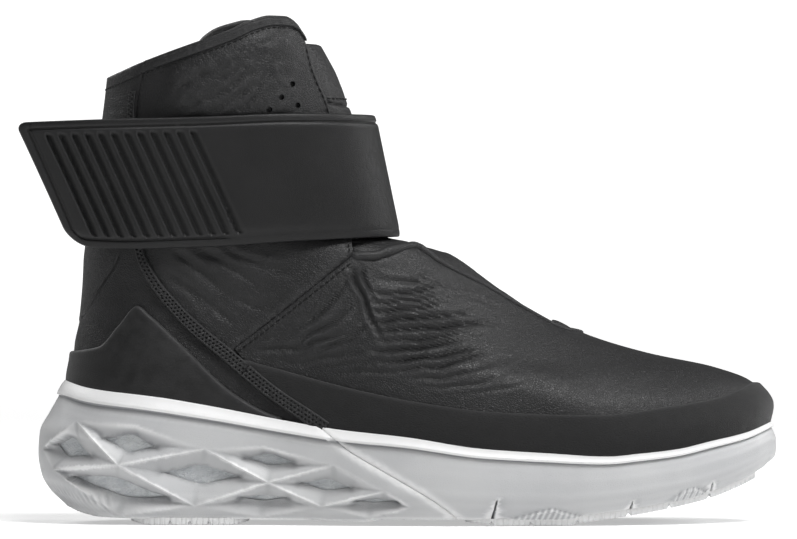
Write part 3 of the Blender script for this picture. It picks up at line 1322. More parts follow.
def makeCollar():
    look = {"thickness": 6.0 * mm, "binding": 3.1 * mm, "pad": 1.7 * mm, "bottomLevel": 10.6}
    level, turn = collarRun()
    place, normal, up = rimFrame(level, turn)
    middle, half = -look["thickness"] / 2 + 0.35 * mm, look["thickness"] / 2 + 0.45 * mm
    legs = [(half - 0.5 * mm, -look["binding"] - 1.4 * mm), (half, -look["binding"] - 1.0 * mm),
            (half + 0.1 * mm, -look["binding"])]
    arch = [(half * math.cos(a), -1.9 * mm + 1.9 * mm * math.sin(a))
            for a in np.linspace(0, math.pi, 17)]
    under = [(-half + 1.0 * mm, -4.0 * mm), (0.0, -2.0 * mm), (half - 1.2 * mm, -4.0 * mm)]
    profile = legs + arch + [(-p, q) for p, q in legs[::-1]] + under
    wobble = 1 + 0.05 * softNoise(turn * 160, turn * 0 + 3.5, 81)
    padding = np.interp(turn, [-0.2, -0.05, 0.05, 0.2], [1.0, 0.7, 0.7, 1.0])
    sections = np.stack([place + normal * ((middle + p * padding * wobble)
                                           + (1 - padding) * -0.3 * mm)[:, None]
                         + up * q for p, q in profile], 1)
    finishPiece(loft("collarBinding", sections, [smoothLeather]), "black_leather")
    low = level[6:-6] - 0.36
    sewn = lifted(upperBase, low, turn[6:-6], quarterRelief(low, turn[6:-6]) + 0.05 * mm)
    finishPiece(stitches("collarStitches", sewn, normal[6:-6], thread, 2.6 * mm, 1.7 * mm, 0.22 * mm),
                "black_leather")
    down = np.linspace(0, 1, 34)[None, :]
    levels = level[:, None] - 0.12 + (look["bottomLevel"] - level[:, None]) * down
    turns = np.broadcast_to(turn[:, None], levels.shape)
    ends = np.minimum(np.arange(len(turn)), np.arange(len(turn))[::-1])[:, None] / 14
    ends = np.sqrt(np.clip(1 - (1 - np.clip(ends, 0, 1)) ** 2, 0, 1))
    fullness = np.interp(down, [0, 0.05, 0.12, 0.88, 0.97, 1], [0.6, 0.9, 1, 1, 0.7, 0.1]) * ends
    lift = -2.2 * mm - (3.5 * mm + look["pad"] * np.sin(np.pi * down) ** 0.7) * fullness
    lift += 0.25 * mm * softNoise(turns * 60, down * 9 + turns * 0, 83) * ends
    piece = gridObject("collarLining", lifted(upperBase, levels, turns, lift), [lining])
    faceOutward(piece)
    piece.data.flip_normals()
    thicken(piece, 1.0 * mm)
    finishPiece(piece, "black_lining", "collar_lining")


# Rolled edge round the throat, the seam up the shaft's front, and the rows of stitches
def makeThroatEdges():
    look = {"lift": -0.1 * mm, "shaftRadius": 0.85 * mm, "stitchInset": 1.6 * mm}
    outer = throatEdge(-1)
    line = np.vstack([outer, throatTip, outer[::-1] * [-1, 1] + [girth, 0]])
    line = evenly(line, 0.8 * mm)
    level, turn = fromPattern(line[:, 0], line[:, 1])
    points = lifted(upperBase, level, turn, look["lift"])
    x = points[:, 0] / mm
    radius = np.interp(x, [68, 84, 98, 106, 150], [1.9, 2.1, 1.7, 1.15, 1.05]) * mm
    radius *= 1 + 0.10 * softNoise(x / 3.1, x * 0 + 1.5, 91) * (x < 108)
    finishPiece(tube("throatEdge", points, radius, [smoothLeather],
                     squareTo(upperBase, level, turn)), "black_leather")
    for side, label in ((-1, "Outer"), (1, "Inner")):
        line = evenly(shaftFront(side), 0.8 * mm)
        level, turn = fromPattern(line[:, 0], line[:, 1])
        normal = squareTo(upperBase, level, np.mod(turn, 1))
        points = lifted(upperBase, level, turn, -0.5 * mm)
        radius = np.interp(points[:, 2], [105 * mm, 125 * mm], [0.4 * mm, look["shaftRadius"]])
        finishPiece(tube("shaftEdge" + label, points, radius, [smoothLeather], normal),
                    "black_leather")
        inward = line + [side * look["stitchInset"], 0]
        level, turn = fromPattern(inward[:, 0], inward[:, 1])
        sewn = lifted(upperBase, level, turn, quarterRelief(level, turn) + 0.05 * mm)
        finishPiece(stitches("shaftStitches" + label, sewn, normal, thread, 2.8 * mm, 1.8 * mm,
                             0.26 * mm), "black_leather")
        sewn = curved(quarterSeam, 10) + np.array([1.2, -1.3]) * mm
        level, turn = upperPin(sewn[:, 0], sewn[:, 1], side)
        sewn = lifted(upperBase, level, turn, 0.70 * mm)
        finishPiece(stitches("quarterStitches" + label, sewn, squareTo(upperBase, level, turn),
                             thread, 2.8 * mm, 1.9 * mm, 0.24 * mm), "black_leather")


# Throat tab: a small rounded lug where the throat ends
def makeThroatTab():
    look = {"back": 150.2 * mm, "front": 159.0 * mm, "half": 4.8 * mm, "rise": 3.0 * mm,
            "sink": 1.2 * mm, "fall": 17 * mm, "fallWide": 34 * mm}
    stations = np.linspace(0, 1, 40)
    sections = []
    for share in stations:
        x = look["back"] + (look["front"] - look["back"]) * share
        level = float(ridgeLevel(x))
        size = math.sqrt(max(1 - (2 * share - 1) ** 2, 0.02))
        ring = []
        for angle in np.linspace(0, 2 * math.pi, 28, endpoint=False):
            aside = look["half"] * size * math.cos(angle)
            lift = look["rise"] * (0.25 + 0.75 * size) * math.sin(angle) * 0.5 - look["sink"]
            ring.append((aside, lift, level))
        sections.append(ring)
    sections = np.array(sections)
    base = upperBase(sections[..., 2], np.full(sections.shape[:2], 0.5))
    normal = squareTo(upperBase, sections[..., 2], np.full(sections.shape[:2], 0.5))
    fall = (sections[..., :1] / look["fallWide"]) ** 2 * look["fall"]
    points = base + normal * (sections[..., 1:2] - fall)
    points[..., 1] += sections[..., 0]
    finishPiece(loft("throatTab", points, [smoothLeather]), "black_leather", "throat_tab")


def ridgeLevel(x):
    return halved(0.5, 10.0,      # level at which the front line reaches this far forward
                  lambda level: upperBase(level, 0.5)[..., 0] > x)


# Strap: wide moulded band with a bevelled border, slanted grooves and a free tab end
def strapEnds(across):
    tab, front = [low + (top - low) * across for low, top in (strapSizes["tab"], strapSizes["front"])]
    return tab, front, (0.5 - across) * (strapSizes["front"][0] - strapSizes["front"][1])


def strapSurface(run, across, lift):
    look = strapSizes
    tab, front, slant = strapEnds(across)
    start = look["turn"] + slant
    row = upperRow(upperPin(along(start), strapHeight((tab + front) / 2, across), -1)[0])
    nose = (front - start) * shoe["soleLength"] - look["wall"] + lift
    share = np.where(run <= 1, tab + (start - tab) * run, np.where(
        run <= 2, start + nose * np.sin(math.pi * (run - 1)) / shoe["soleLength"],
        start + (look["innerEnd"] + slant - start) * (run - 2)))
    x = along(share)
    side = np.where(run < 1.5, -1, 1)
    half = halfWidth(np.where(side < 0, np.maximum(x, along(start)), x), side, row[5], row[6])
    half = half + look["standoff"] + lift
    y = side * half + bendAt(x)
    y = np.where(run <= 1, y + look["curl"] * np.maximum(1 - run * 1.6, 0) ** 2, y)
    turned = (run > 1) & (run < 2)
    y = np.where(turned, bendAt(x) + side * half * np.abs(np.cos(math.pi * (run - 1))), y)
    return np.stack([x, y, strapHeight(share, across)], -1)


def strapHeight(share, across):
    low = height(through(strapSizes["lowLine"], share))
    return low + (height(through(strapSizes["topLine"], share)) - low) * across


strapSizes = {
    "lowLine": [(-0.030, 2.010), (0.045, 2.000), (0.129, 1.980), (0.223, 1.993), (0.356, 2.022),
                (0.489, 2.042)],
    "topLine": [(-0.030, 2.532), (0.089, 2.545), (0.223, 2.556), (0.356, 2.571), (0.452, 2.571)],
    "tab": (0.049, -0.026), "front": (0.489, 0.455), "turn": 0.250, "innerEnd": 0.150,
    "wall": 2.2 * mm, "standoff": 2.1 * mm, "curl": 7 * mm,
    "grooves": (0.0473, 0.2407), "grooveCount": 12, "grooveSlant": 0.0785,
    "grooveHalf": 0.7 * mm, "grooveDepth": 1.35 * mm, "grooveRun": 3.0 * mm, "crest": 0.22 * mm,
    "grooveTop": 6.2 * mm, "grooveBottom": 5.2 * mm, "topCorner": 4 * mm, "lowCorner": 8 * mm,
    "border": [(0, -0.75), (0.2, -0.15), (0.5, 0.05), (1.4, 0.28), (2.3, 0.30), (2.75, 0.10),
               (3.0, -0.25), (3.3, -0.25), (3.7, 0.25), (4.3, 0.55), (5.2, 0.62), (6.5, 0.6)],
    "softBorder": [(0, -0.75), (0.2, -0.15), (0.5, 0.05), (1.4, 0.30), (2.6, 0.42), (3.2, 0.40),
                   (4.5, 0.55), (6.5, 0.6)],
}


def makeStrap():
    look = strapSizes
    width = height(2.55) - height(2.0)
    tabRun = (look["turn"] - sum(look["tab"]) / 2) * shoe["soleLength"]
    square = 0.904      # the tab's end slants, so distances square to it are shorter
    near = np.concatenate([np.array([0, 0.1, 0.25, 0.4, 0.6, 0.9, 1.3, 1.8, 2.3, 2.6, 2.9, 3.1, 3.3,
                                     3.55, 3.8, 4.3]) * mm, np.arange(5.0, 25.0, 0.7) * mm])
    c = np.concatenate([near / width, 1 - near[::-1] / width])
    inside = np.linspace(1, 0, 22)
    first = np.concatenate([near[:16] / tabRun / square, np.arange(4.6 * mm / tabRun, 1, 0.0042)])
    runs = np.concatenate([first, np.linspace(1, 1.2, 75)[1:], np.linspace(1.2, 2, 80)[1:],
                           np.linspace(2, 2.93, 45)[1:],
                           3 - near[14::-1] / (30 * mm) * 0.5])
    across = np.concatenate([c, inside])[None, :]
    outerFace = np.concatenate([np.ones(len(c)), np.zeros(len(inside))])[None, :] > 0
    fromSide = np.minimum(across, 1 - across) * width
    corner = np.where(across > 0.5, look["topCorner"], look["lowCorner"])
    bend = np.clip(corner - fromSide, 0, None)
    shift = corner - np.sqrt(np.clip(corner ** 2 - bend ** 2, 0, None))
    run = runs[:, None] + shift / (tabRun * square) * smoothStep(0.16, 0, runs[:, None])
    fromTab = run * tabRun * square
    a = np.clip(corner - fromTab, 0, None)
    gap = np.where((a > 0) & (bend > 0), corner - np.hypot(a, bend),
                   np.minimum(fromSide, fromTab))
    gap = np.minimum(gap, (3 - run) * 60 * mm)
    crisp = np.interp(gap / mm, *np.array(look["border"]).T) * mm
    soft = np.interp(gap / mm, *np.array(look["softBorder"]).T) * mm
    lower = smoothStep(0.55, 0.45, across)
    fade = smoothStep(0.93, 1.02, run) * lower
    lift = crisp * (1 - fade) + soft * fade
    pitch = (look["grooves"][1] - look["grooves"][0]) / (look["grooveCount"] - 1)
    tab, front, slant = strapEnds(across)
    nose = front - look["turn"] - slant
    share = np.where(run < 1, tab + (look["turn"] + slant - tab) * run,
                     look["turn"] + slant + nose * np.sin(math.pi * (np.clip(run, 1, 1.5) - 1)))
    beyond = np.maximum(np.maximum(look["grooveTop"] - (1 - across) * width,
                                   look["grooveBottom"] - across * width), 0)
    for index in range(look["grooveCount"]):
        centre = look["grooves"][0] + pitch * index + look["grooveSlant"] * (0.5 - across)
        off = (share - centre) * shoe["soleLength"] * square
        slope = smoothStep(look["grooveRun"], 0, np.hypot(np.maximum(off, 0), beyond * 2))
        steep = smoothStep(-look["grooveHalf"], 0, np.minimum(off, 0) - beyond * 0.8)
        lift -= look["grooveDepth"] * slope * steep
        crest = np.hypot(off + 1.25 * look["grooveHalf"], beyond)
        lift += look["crest"] * np.clip(1 - crest / (0.5 * mm), 0, 1)
    lift = np.where(outerFace, look["wall"] + lift,
                    0.75 * mm * np.clip(1 - gap / (0.7 * mm), 0, 1))
    points = strapSurface(run, np.broadcast_to(across, run.shape), lift)
    finishPiece(loft("strapBand", points, [strapRubber], sharp=50), "moulded_rubber", "strap")


# Insole: a cloth-topped pad inside the upper
def makeInsole():
    look = {"rise": 3.4 * mm, "inset": -3.6 * mm, "dish": 2.0 * mm, "wall": 1.2 * mm}
    turns = np.linspace(0, 1, 240, endpoint=False)
    edge = lifted(upperBase, 0.22, turns, look["inset"])
    bed = sideLine(bedLine, edge[:, 0])
    rings = []
    for share, drop in ((1.0, 2.2), (0.995, 0.8), (0.98, 0.2), (0.95, 0.0), (0.85, 0.0), (0.7, 0.0),
                        (0.5, 0.0), (0.3, 0.0), (0.12, 0.0), (0.0, 0.0)):
        ring = edge.copy()
        middle = bendAt(edge[:, 0])
        ring[:, 1] = middle + (edge[:, 1] - middle) * share
        ring[:, 2] = bed + look["rise"] - drop * mm - look["dish"] * (1 - share ** 2) * 0.5
        rings.append(ring)
    piece = gridObject("insolePad", np.array(rings), [insoleCloth], wrap=True)
    if sum(face.normal.z for face in piece.data.polygons) < 0:
        piece.data.flip_normals()
    thicken(piece, look["wall"])
    finishPiece(piece, "black_lining", "insole")


makeMudguard()
makeCounter()
makeStrip(-1, "stripOuter", "quarter_strip_outer")
makeStrip(1, "stripInner", "quarter_strip_inner")
print("overlays made")
makeTongue()
makeCollar()
makeThroatEdges()
makeThroatTab()
makeInsole()
print("collar, tongue and throat made")
makeStrap()
print("strap made")


# Sole: heel unit with a lattice of windows, forefoot cup, foam core and treads
# Cells: corners of the cell, then of its window, as place and step seen from the side
cells = [
    ([(0.007, 0.563), (0.055, 0.773), (0.112, 0.447), (0.023, 0.407)],
     [(0.018, 0.600), (0.041, 0.664), (0.069, 0.519), (0.033, 0.500)]),
    ([(0.055, 0.773), (0.136, 0.741), (0.229, 0.567), (0.112, 0.447)],
     [(0.088, 0.660), (0.130, 0.696), (0.162, 0.582), (0.125, 0.539)]),
    ([(0.023, 0.407), (0.112, 0.447), (0.215, 0.142), (0.113, 0.070)],
     [(0.043, 0.341), (0.104, 0.356), (0.178, 0.190), (0.119, 0.170)]),
    ([(0.112, 0.447), (0.229, 0.567), (0.313, 0.319), (0.215, 0.142)],
     [(0.172, 0.393), (0.224, 0.459), (0.274, 0.363), (0.224, 0.289)]),
    ([(0.229, 0.567), (0.305, 0.585), (0.401, 0.452), (0.313, 0.319)],
     [(0.284, 0.504), (0.314, 0.541), (0.344, 0.470), (0.314, 0.442)]),
    ([(0.313, 0.319), (0.401, 0.452), (0.469, 0.259), (0.384, 0.141)],
     [(0.354, 0.315), (0.391, 0.353), (0.420, 0.281), (0.387, 0.248)]),
    ([(0.215, 0.142), (0.313, 0.319), (0.384, 0.141), (0.305, 0.058)],
     [(0.275, 0.185), (0.307, 0.214), (0.336, 0.185), (0.307, 0.155)]),
    ([(0.384, 0.141), (0.469, 0.259), (0.505, 0.140), (0.449, 0.058)],
     [(0.428, 0.170), (0.455, 0.190), (0.483, 0.160), (0.453, 0.145)]),
]
cellZone = [(0.003, 0.57), (0.05, 0.81), (0.14, 0.78), (0.229, 0.61), (0.305, 0.63), (0.407, 0.48),
            (0.475, 0.29), (0.513, 0.135), (0.449, 0.045), (0.30, 0.045), (0.11, 0.052), (0.014, 0.40)]
mounds = [
    [(0.636, 0.030), (0.640, 0.070), (0.673, 0.119), (0.692, 0.141), (0.712, 0.110),
     (0.730, 0.085), (0.733, 0.030)],
    [(0.850, 0.150), (0.853, 0.200), (0.868, 0.267), (0.884, 0.289), (0.897, 0.262),
     (0.899, 0.200)],
]
sipes = [((0.6185, 0.197), (0.611, 0.020)), ((0.800, 0.184), (0.794, 0.050)),
         ((0.909, 0.315), (0.904, 0.170))]
soleSizes = {
    "pitch": 1.5 * mm, "wallTall": 52 * mm, "underWide": 34 * mm, "over": 0.14,
    "cellDepth": 3.9 * mm, "windowDepth": 6.2 * mm, "foamDepth": 4.8 * mm, "cellPitch": 0.75 * mm,
    "lipRise": 0.5 * mm, "lipGroove": 0.35 * mm, "lipFoot": 0.885, "lipInside": 1.8 * mm,
    "windowRound": 0.24, "windowEdge": 0.25 * mm,
    "partingHalf": 0.55 * mm, "partingDepth": 0.8 * mm,
    "sipeHalf": 0.55 * mm, "sipeDepth": 2.0 * mm,
    "moundRise": 0.6 * mm, "hatchPitch": 2.3 * mm, "hatchDepth": 0.22 * mm,
    "moundPitch": 0.42 * mm, "sipeLip": 0.22 * mm,
    "lipLevels": (0.11, 0.845, 0.86, 0.873, 0.885, 0.892, 0.905, 0.97, 0.985, 1.0),
}


def toSole(level, turn):
    tall, wide = soleSizes["wallTall"], soleSizes["underWide"]
    return np.stack([turn * girth, np.where(level < 0, level * wide, level * tall)], -1)


def fromSole(a, b):
    tall, wide = soleSizes["wallTall"], soleSizes["underWide"]
    return np.where(b < 0, b / wide, b / tall), a / girth


def onSole(a, b):
    level, turn = fromSole(a, b)
    base = soleBase(np.clip(level, 0, 1), turn)
    return level, turn, base[:, 0], base[:, 2]


def solePlace(level, turn, lift):
    # the wall from 0 to 1, the underside to the middle line below 0, the rim's inside above 1
    wall = lifted(soleBase, np.clip(level, 0, 1), turn, lift)
    under = np.clip(-level, 0, 1)
    wall[:, 1] += (bendAt(wall[:, 0]) - wall[:, 1]) * under
    over = np.clip((level - 1) / soleSizes["over"], 0, 1)
    inward = -squareTo(soleBase, np.full(level.shape, 0.6), turn)
    inward[:, 2] = 0
    inward /= np.maximum(np.linalg.norm(inward, axis=1, keepdims=True), 1e-9)
    wall += inward * (over * soleSizes["lipInside"])[:, None]
    wall[:, 2] += 0.35 * mm * np.sin(np.clip(over * 3, 0, 1) * math.pi) - 2.5 * mm * over ** 2
    return wall


def solePinned(rows, side, rear):
    points = evenly(sidePoints(rows), 1.2 * mm)
    level, turn = solePin(points[:, 0], points[:, 1], side)
    if rear:
        turn = np.where(turn > 0.5, turn - 1, turn)
    return toSole(level, turn)


def partingEdge(side, rear):
    dense = np.linspace(0.345, 0.580, 90)
    line = solePinned(np.stack([dense, through(partingLine, dense)], 1), side, rear)
    line = line[(line[:, 1] < soleSizes["wallTall"] * 0.999) & (line[:, 1] > 0)]
    top, bottom = line[:1].copy(), line[-1:].copy()
    top[0, 1] = soleSizes["wallTall"] * (1 + soleSizes["over"])
    rim, foot = top.copy(), bottom.copy()
    rim[0, 1], foot[0, 1] = soleSizes["wallTall"], 0
    bottom[0, 1] = -soleSizes["underWide"]
    return np.vstack([top, rim, line, foot, bottom])


def roundedWindow(corners):
    made, cut = [], soleSizes["windowRound"]      # pointed at the ends, rounded above and below
    for index in range(4):
        before, here, after = [np.array(corners[(index + k) % 4]) for k in (-1, 0, 1)]
        if index % 2 == 0:
            made.append(here)
            continue
        for t in np.linspace(0, 1, 9):
            start, end = here + (before - here) * cut, here + (after - here) * cut
            made.append((1 - t) ** 2 * start + 2 * t * (1 - t) * here + t * t * end)
    return np.array(made)


def closedLine(points):
    return np.vstack([points, points[:1]])


def partingGroove(x, z, level):
    dense = np.linspace(0.340, 0.585, 120)
    line = sidePoints(np.stack([dense, through(partingLine, dense)], 1))
    gap = lineDistance(x, z, line)[0]
    under = sidePoints([(0.573, 0.0)])[0, 0]
    gap = np.where(level < -0.02, np.abs(x - under), gap)
    return soleSizes["partingDepth"] * np.clip(1 - gap / soleSizes["partingHalf"], 0, 1)


def cellDepth(x, z):
    depth = np.zeros(x.shape)
    for corners, window in cells:
        corners = sidePoints(corners)
        window = sidePoints(roundedWindow(window))
        inside = insideOf(x, z, corners)
        if not inside.any():
            continue
        a, b = x[inside], z[inside]
        shared, free = np.full(a.shape, 1e3), np.full(a.shape, 1e3)
        for start, end in zip(corners, np.roll(corners, -1, axis=0)):
            gap = lineDistance(a, b, np.array([start, end]))[0]
            touching = sum((np.abs(sidePoints(other[0]) - start).sum(1) < 1e-6).any()
                           and (np.abs(sidePoints(other[0]) - end).sum(1) < 1e-6).any()
                           for other in cells)
            if touching > 1:
                shared = np.minimum(shared, gap)
            else:
                free = np.minimum(free, gap)
        near = np.minimum(shared, free)
        t = near / (near + lineDistance(a, b, closedLine(window))[0] + 1e-9)
        soft = t * t * (3 - 2 * t)
        weight = free / (free + shared + 1e-9)
        depth[inside] = soleSizes["cellDepth"] * (weight * t + (1 - weight) * soft)
    return depth


def lipRelief(level):
    # the lip under the rim stands out, with a fine groove below it
    foot, groove = soleSizes["lipFoot"], soleSizes["lipGroove"]
    out = soleSizes["lipRise"] * smoothStep(foot, 0.892, level) * smoothStep(1.02, 0.97, level)
    return out - groove * smoothStep(0.84, 0.875, level) * smoothStep(0.892, foot, level)


def onLip(a, b):
    return b > soleSizes["wallTall"] * soleSizes["lipFoot"]


def placeHeel(a, b):
    level, turn, x, z = onSole(a, b)
    lift = lipRelief(level) - cellDepth(x, z) * (level > 0) - partingGroove(x, z, level)
    rear = (x < along(0.10)) & (level < 0.16) & (level > -0.2)
    lift -= 0.2 * mm * rear * smoothStep(-0.2, 0.6, np.sin(turn * girth / (1.9 * mm) * math.pi))
    return solePlace(level, turn, lift)


def windowWalls(side):
    points, faces = [], []
    deepest = soleSizes["cellDepth"]
    steps = [(1.0, deepest), (0.985, deepest + soleSizes["windowEdge"]),
             (0.96, soleSizes["windowDepth"])]
    for cell in cells:
        rows = roundedWindow(cell[1])
        edge = evenly(solePinned(closedLine(rows), side, True)[:-1], 1.0 * mm, closed=True)
        middle = edge.mean(0)
        start, count = len(points), len(edge)
        for shrink, deep in steps:
            ring = middle + (edge - middle) * shrink
            level, turn = fromSole(ring[:, 0], ring[:, 1])
            points += solePlace(level, turn, np.full(level.shape, -deep)).tolist()
        for ring in range(2):
            for k in range(count):
                a, b = start + ring * count + k, start + ring * count + (k + 1) % count
                faces.append([a, b, b + count, a + count])
    return meshObject("walls", points, faces, [whiteRubber])


def unitOutline(rear, count):
    outer, inner = partingEdge(-1, rear), partingEdge(1, rear)      # one unit laid flat
    under = np.linspace(outer[-1], inner[-1], count)[1:-1]
    over = np.linspace(inner[0], outer[0], count)[1:-1]
    return np.vstack([outer, under, inner[::-1], over])


def unitLines(rear):
    ends, features = [], []      # lines along the parting groove and the lip
    for side in (-1, 1):
        edge = partingEdge(side, rear)
        ends.append(edge[5, 0])
        inward = soleSizes["partingHalf"] * 0.9 * (side if rear else -side)
        features.append((edge[1:-2] + [inward, 0], False))
    turns = np.linspace(*ends, 300) / girth
    for level in soleSizes["lipLevels"]:
        features.append((toSole(np.full(turns.shape, level), turns), False))
    return features


def makeHeelUnit():
    features, holes, fine = [], [], []
    for side in (-1, 1):
        fine.append((solePinned(cellZone, side, True), soleSizes["cellPitch"]))
        for corners, window in cells:
            ring = closedLine(np.array(corners))
            features += [(solePinned(ring[k:k + 2], side, True), False) for k in range(4)]
            hole = solePinned(closedLine(roundedWindow(window)), side, True)[:-1]
            features.append((hole, True))
            holes.append(hole)
            for k in (0, 2):
                features.append((solePinned([corners[k], window[k]], side, True), False))
    piece = sheetOf("heelUnit", unitOutline(True, 260), features + unitLines(True),
                    soleSizes["pitch"], placeHeel, [whiteRubber, lipRubber], holes=holes,
                    fine=fine, zone=onLip)
    piece = joined("heelUnit", [piece, windowWalls(-1), windowWalls(1)], 22)
    finishPiece(piece, "white_rubber", "heel_cage")


def moundRelief(x, z):
    relief = np.zeros(x.shape)
    for rows in mounds:
        points = sidePoints(rows)
        inside = insideOf(x, z, points)
        gap = lineDistance(x, z, points[1:-1])[0]
        size = soleSizes["hatchPitch"]
        slant = x - (z - points[:, 1].min()) * 0.55 + ((z - points[:, 1].min()) ** 2) * 8
        groove = smoothStep(0.62, 0.95, np.cos(slant / size * 2 * math.pi) * 0.5 + 0.5)
        rise = soleSizes["moundRise"] * smoothStep(0, 1.3 * mm, gap)
        relief += inside * (rise - groove * soleSizes["hatchDepth"] * smoothStep(0, 0.5 * mm, gap))
    return relief


def placeCup(a, b):
    level, turn, x, z = onSole(a, b)
    lift = lipRelief(level) + moundRelief(x, z) * (level > 0.0) - partingGroove(x, z, level)
    for rows in sipes:
        gap, share, side = lineDistance(x, z, sidePoints(rows))
        half = soleSizes["sipeHalf"] * np.clip(0.35 + share * 0.9, 0, 1)
        cut = np.clip(1 - gap / half, 0, 1) ** 0.8 * smoothStep(0, 0.12, share) * (
            smoothStep(1.0, 0.86, share))
        lip = np.clip(1 - np.abs(gap - 1.5 * half) / (0.6 * mm), 0, 1) * (side > 0)
        lift += (soleSizes["sipeLip"] * lip - soleSizes["sipeDepth"] * cut) * (level > -0.06)
    return solePlace(level, turn, lift)


def makeForefootCup():
    features, fine = [], []
    for side in (-1, 1):
        for rows in sipes:
            line = solePinned(curved(np.array(rows), 12), side, False)
            for shift in (-0.62, -0.3, 0, 0.3, 0.62):
                features.append((beside(line, shift * mm), False))
        for rows in mounds:
            zone = solePinned(rows, side, False)
            zone[:, 1] = np.maximum(zone[:, 1], 0.2 * mm)
            fine.append((zone, soleSizes["moundPitch"]))
    piece = sheetOf("forefootUnit", unitOutline(False, 300), features + unitLines(False),
                    soleSizes["pitch"], placeCup, [whiteRubber, lipRubber], fine=fine, sharp=30,
                    zone=onLip)
    finishPiece(piece, "white_rubber", "forefoot_cup")


def makeFoam():
    # wrinkled foam seen through the windows
    look = {"rows": 480, "columns": 70, "reach": 0.31, "wrinkle": 0.10 * mm, "grit": 0.04 * mm}
    turns = np.linspace(-look["reach"], look["reach"], look["rows"])[:, None]
    levels = np.linspace(0.03, 0.88, look["columns"])[None, :]
    turns, levels = [grid.ravel() for grid in np.broadcast_arrays(turns, levels)]
    base = soleBase(levels, turns)
    x, z = base[:, 0], base[:, 2] + (turns < 0) * 0.2
    lift = -soleSizes["foamDepth"] + look["wrinkle"] * wrinkleRelief(x, z, 101, 2.4 * mm)
    lift += look["grit"] * softNoise(x / (0.8 * mm), z / (0.8 * mm), 105)
    points = solePlace(levels, turns, lift).reshape(look["rows"], look["columns"], 3)
    piece = gridObject("foamCore", points, [windowFoam])
    faceOutward(piece)
    finishPiece(piece, "grey_foam", "midsole_core")


def makeTread(name, node, rows, flexes):
    look = {"inset": -0.5 * mm, "top": 0.3 * mm, "slotPitch": 2.15 * mm, "slotDepth": 0.4 * mm,
            "flexHalf": 0.8 * mm, "flexDepth": 1.3 * mm, "step": 0.45 * mm, "edge": 1.4 * mm,
            "ribPitch": 4.3 * mm, "ribDepth": 0.7 * mm, "waveDepth": 3.0 * mm, "waveWide": 16 * mm}
    start, end = along(rows[0][0]), along(rows[-1][0])
    x = np.arange(start, end, look["step"])[:, None]
    across = np.concatenate([np.linspace(-1, -0.93, 5), np.linspace(-0.9, 0.9, 41),
                             np.linspace(0.93, 1, 5)])[None, :]
    back, front = soleRings[0][1], soleRings[0][2]
    share = (shareOf(x) - back) / (front - back)
    outer, inner = [soleBase(0.0, turnAt(share, side))[..., 1] for side in (-1, 1)]
    low = sideLine(rows, x)
    top = sideLine(underLine, x) - look["top"]
    ends = np.minimum(x - start, end - x)
    slots = look["slotDepth"] * (np.cos(x / look["slotPitch"] * 2 * math.pi) > 0.75)
    inset = look["inset"] + 6 * mm * (
        1 - np.sqrt(np.clip(1 - (1 - np.clip(ends / (10 * mm), 0, 1)) ** 2, 0, 1)))
    middle, half = (outer + inner) / 2, (inner - outer) / 2 - inset
    y = middle + (half - slots) * across
    edge = np.clip((1 - np.abs(across)) * half / look["edge"], 0, 1)
    bottom = low + (top - low) * 0.75 * (1 - np.sqrt(1 - (1 - edge) ** 2))
    wave = x + look["waveDepth"] * np.abs(np.mod(y / look["waveWide"], 2) - 1)
    ribs = np.clip((np.cos(wave / look["ribPitch"] * 2 * math.pi) - 0.55) / 0.25, 0, 1)
    bottom = bottom + ribs * look["ribDepth"] * (np.abs(across) < 0.86)
    for flex in flexes:
        groove = np.clip(1 - np.abs(x - along(flex)) / look["flexHalf"], 0, 1) ** 0.6
        bottom = bottom + groove * look["flexDepth"]
    bottom = np.minimum(bottom, top - 0.15 * mm)
    under = np.stack(np.broadcast_arrays(x, y, bottom), -1)
    over = np.stack(np.broadcast_arrays(x, middle + half * across, top + 0.8 * mm), -1)[:, ::-1]
    piece = loft(name, np.concatenate([under, over], 1), [treadRubber], sharp=35)
    finishPiece(piece, "white_rubber", node)


heelTread = [(0.129, 0.030), (0.156, 0), (0.260, 0), (0.287, 0.030)]
foreTread = [(0.577, 0.030), (0.596, 0.020), (0.623, 0), (0.705, 0), (0.737, 0.026), (0.780, 0.059),
             (0.823, 0.096), (0.865, 0.141), (0.908, 0.200), (0.951, 0.289), (0.970, 0.335)]
makeHeelUnit()
makeForefootCup()
makeFoam()
makeTread("heelTread", "tread_heel", heelTread, (0.182, 0.208, 0.234))
makeTread("forefootTread", "tread_forefoot", foreTread,
          (0.611, 0.664, 0.725, 0.794, 0.850, 0.904))
print("sole made")


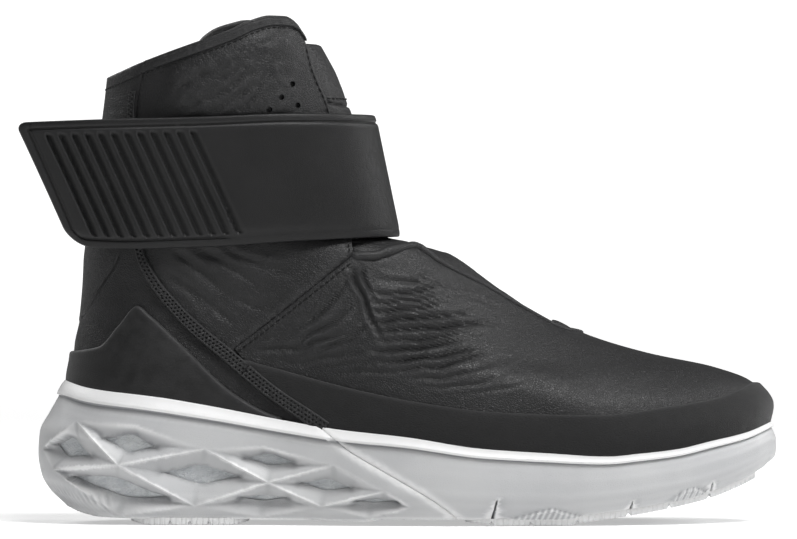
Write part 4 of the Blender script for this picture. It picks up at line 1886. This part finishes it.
# Stage: a plain pale floor and soft studio light
def makeStage():
    look = {"floorSize": 24, "floor": (0.80, 0.80, 0.80), "floorLight": (0.82, 0.82, 0.82),
            "skyPower": 0.15, "skySeen": 1.5,
            "near": (0.40, 0.40, 0.40), "far": (0.95, 0.95, 0.95), "bounce": (0.15, 0.15, 0.15)}
    bpy.ops.mesh.primitive_plane_add(size=look["floorSize"], location=(0, 0, 0))
    floor = bpy.context.object
    floor.name = "floor"
    finish, tree, shader = newFinish("paleFloor")
    mottle = useGroup(tree, "mottle", Scale=3, Fine=60)
    join(tree, blendColour(tree, mottle.outputs["Broad"], look["floor"], look["floorLight"]),
         shader.inputs["Base Color"])
    shader.inputs["Roughness"].default_value = 0.7
    shader.inputs["Specular IOR Level"].default_value = 0.1
    coords = addNode(tree, "ShaderNodeTexCoord").outputs["Object"]
    away = addNode(tree, "ShaderNodeVectorMath", operation="LENGTH")
    join(tree, coords, away.inputs[0])
    far = ranged(tree, away.outputs["Value"], 0.3, 4.0)
    glow = blendColour(tree, far, look["near"], look["far"])
    seenDirectly = addNode(tree, "ShaderNodeLightPath").outputs["Is Camera Ray"]
    join(tree, blendColour(tree, seenDirectly, look["bounce"], glow), shader.inputs["Emission Color"])
    shader.inputs["Emission Strength"].default_value = 1.0
    floor.data.materials.append(finish)
    world = bpy.data.worlds.new("studio")
    bpy.context.scene.world = world
    world.use_nodes = True
    tree = world.node_tree
    background = tree.nodes["Background"]
    background.inputs["Color"].default_value = (1, 1, 1, 1)
    background.inputs["Strength"].default_value = look["skyPower"]
    seen = addNode(tree, "ShaderNodeBackground")      # plain white to the eye
    seen.inputs["Strength"].default_value = look["skySeen"]
    mix = addNode(tree, "ShaderNodeMixShader")
    join(tree, addNode(tree, "ShaderNodeLightPath").outputs["Is Camera Ray"], mix.inputs[0])
    join(tree, background.outputs[0], mix.inputs[1])
    join(tree, seen.outputs[0], mix.inputs[2])
    join(tree, mix.outputs[0], tree.nodes["World Output"].inputs["Surface"])
    bpy.context.scene.view_settings.view_transform = "Standard"
    lamps = [
        ("topSoftbox", (0.75, -0.9, 1.9), (0.10, 0, 0.1), 0.9, 50),
        ("frontSoftbox", (1.3, -1.5, 0.6), (0.1, 0, 0.08), 0.8, 1.9),
        ("backSoftbox", (-0.9, 1.0, 1.2), (0.0, 0, 0.12), 0.9, 11),
        ("toeSoftbox", (1.6, 0.6, 0.9), (0.2, 0, 0.05), 0.7, 10),
    ]
    for name, place, target, size, power in lamps:
        data = bpy.data.lights.new(name, "AREA")
        data.size = size
        data.energy = power
        lamp = bpy.data.objects.new(name, data)
        lamp.location = place
        lamp.rotation_euler = (Vector(target) - Vector(place)).to_track_quat("-Z", "Y").to_euler()
        bpy.context.scene.collection.objects.link(lamp)


makeStage()
print("stage made")
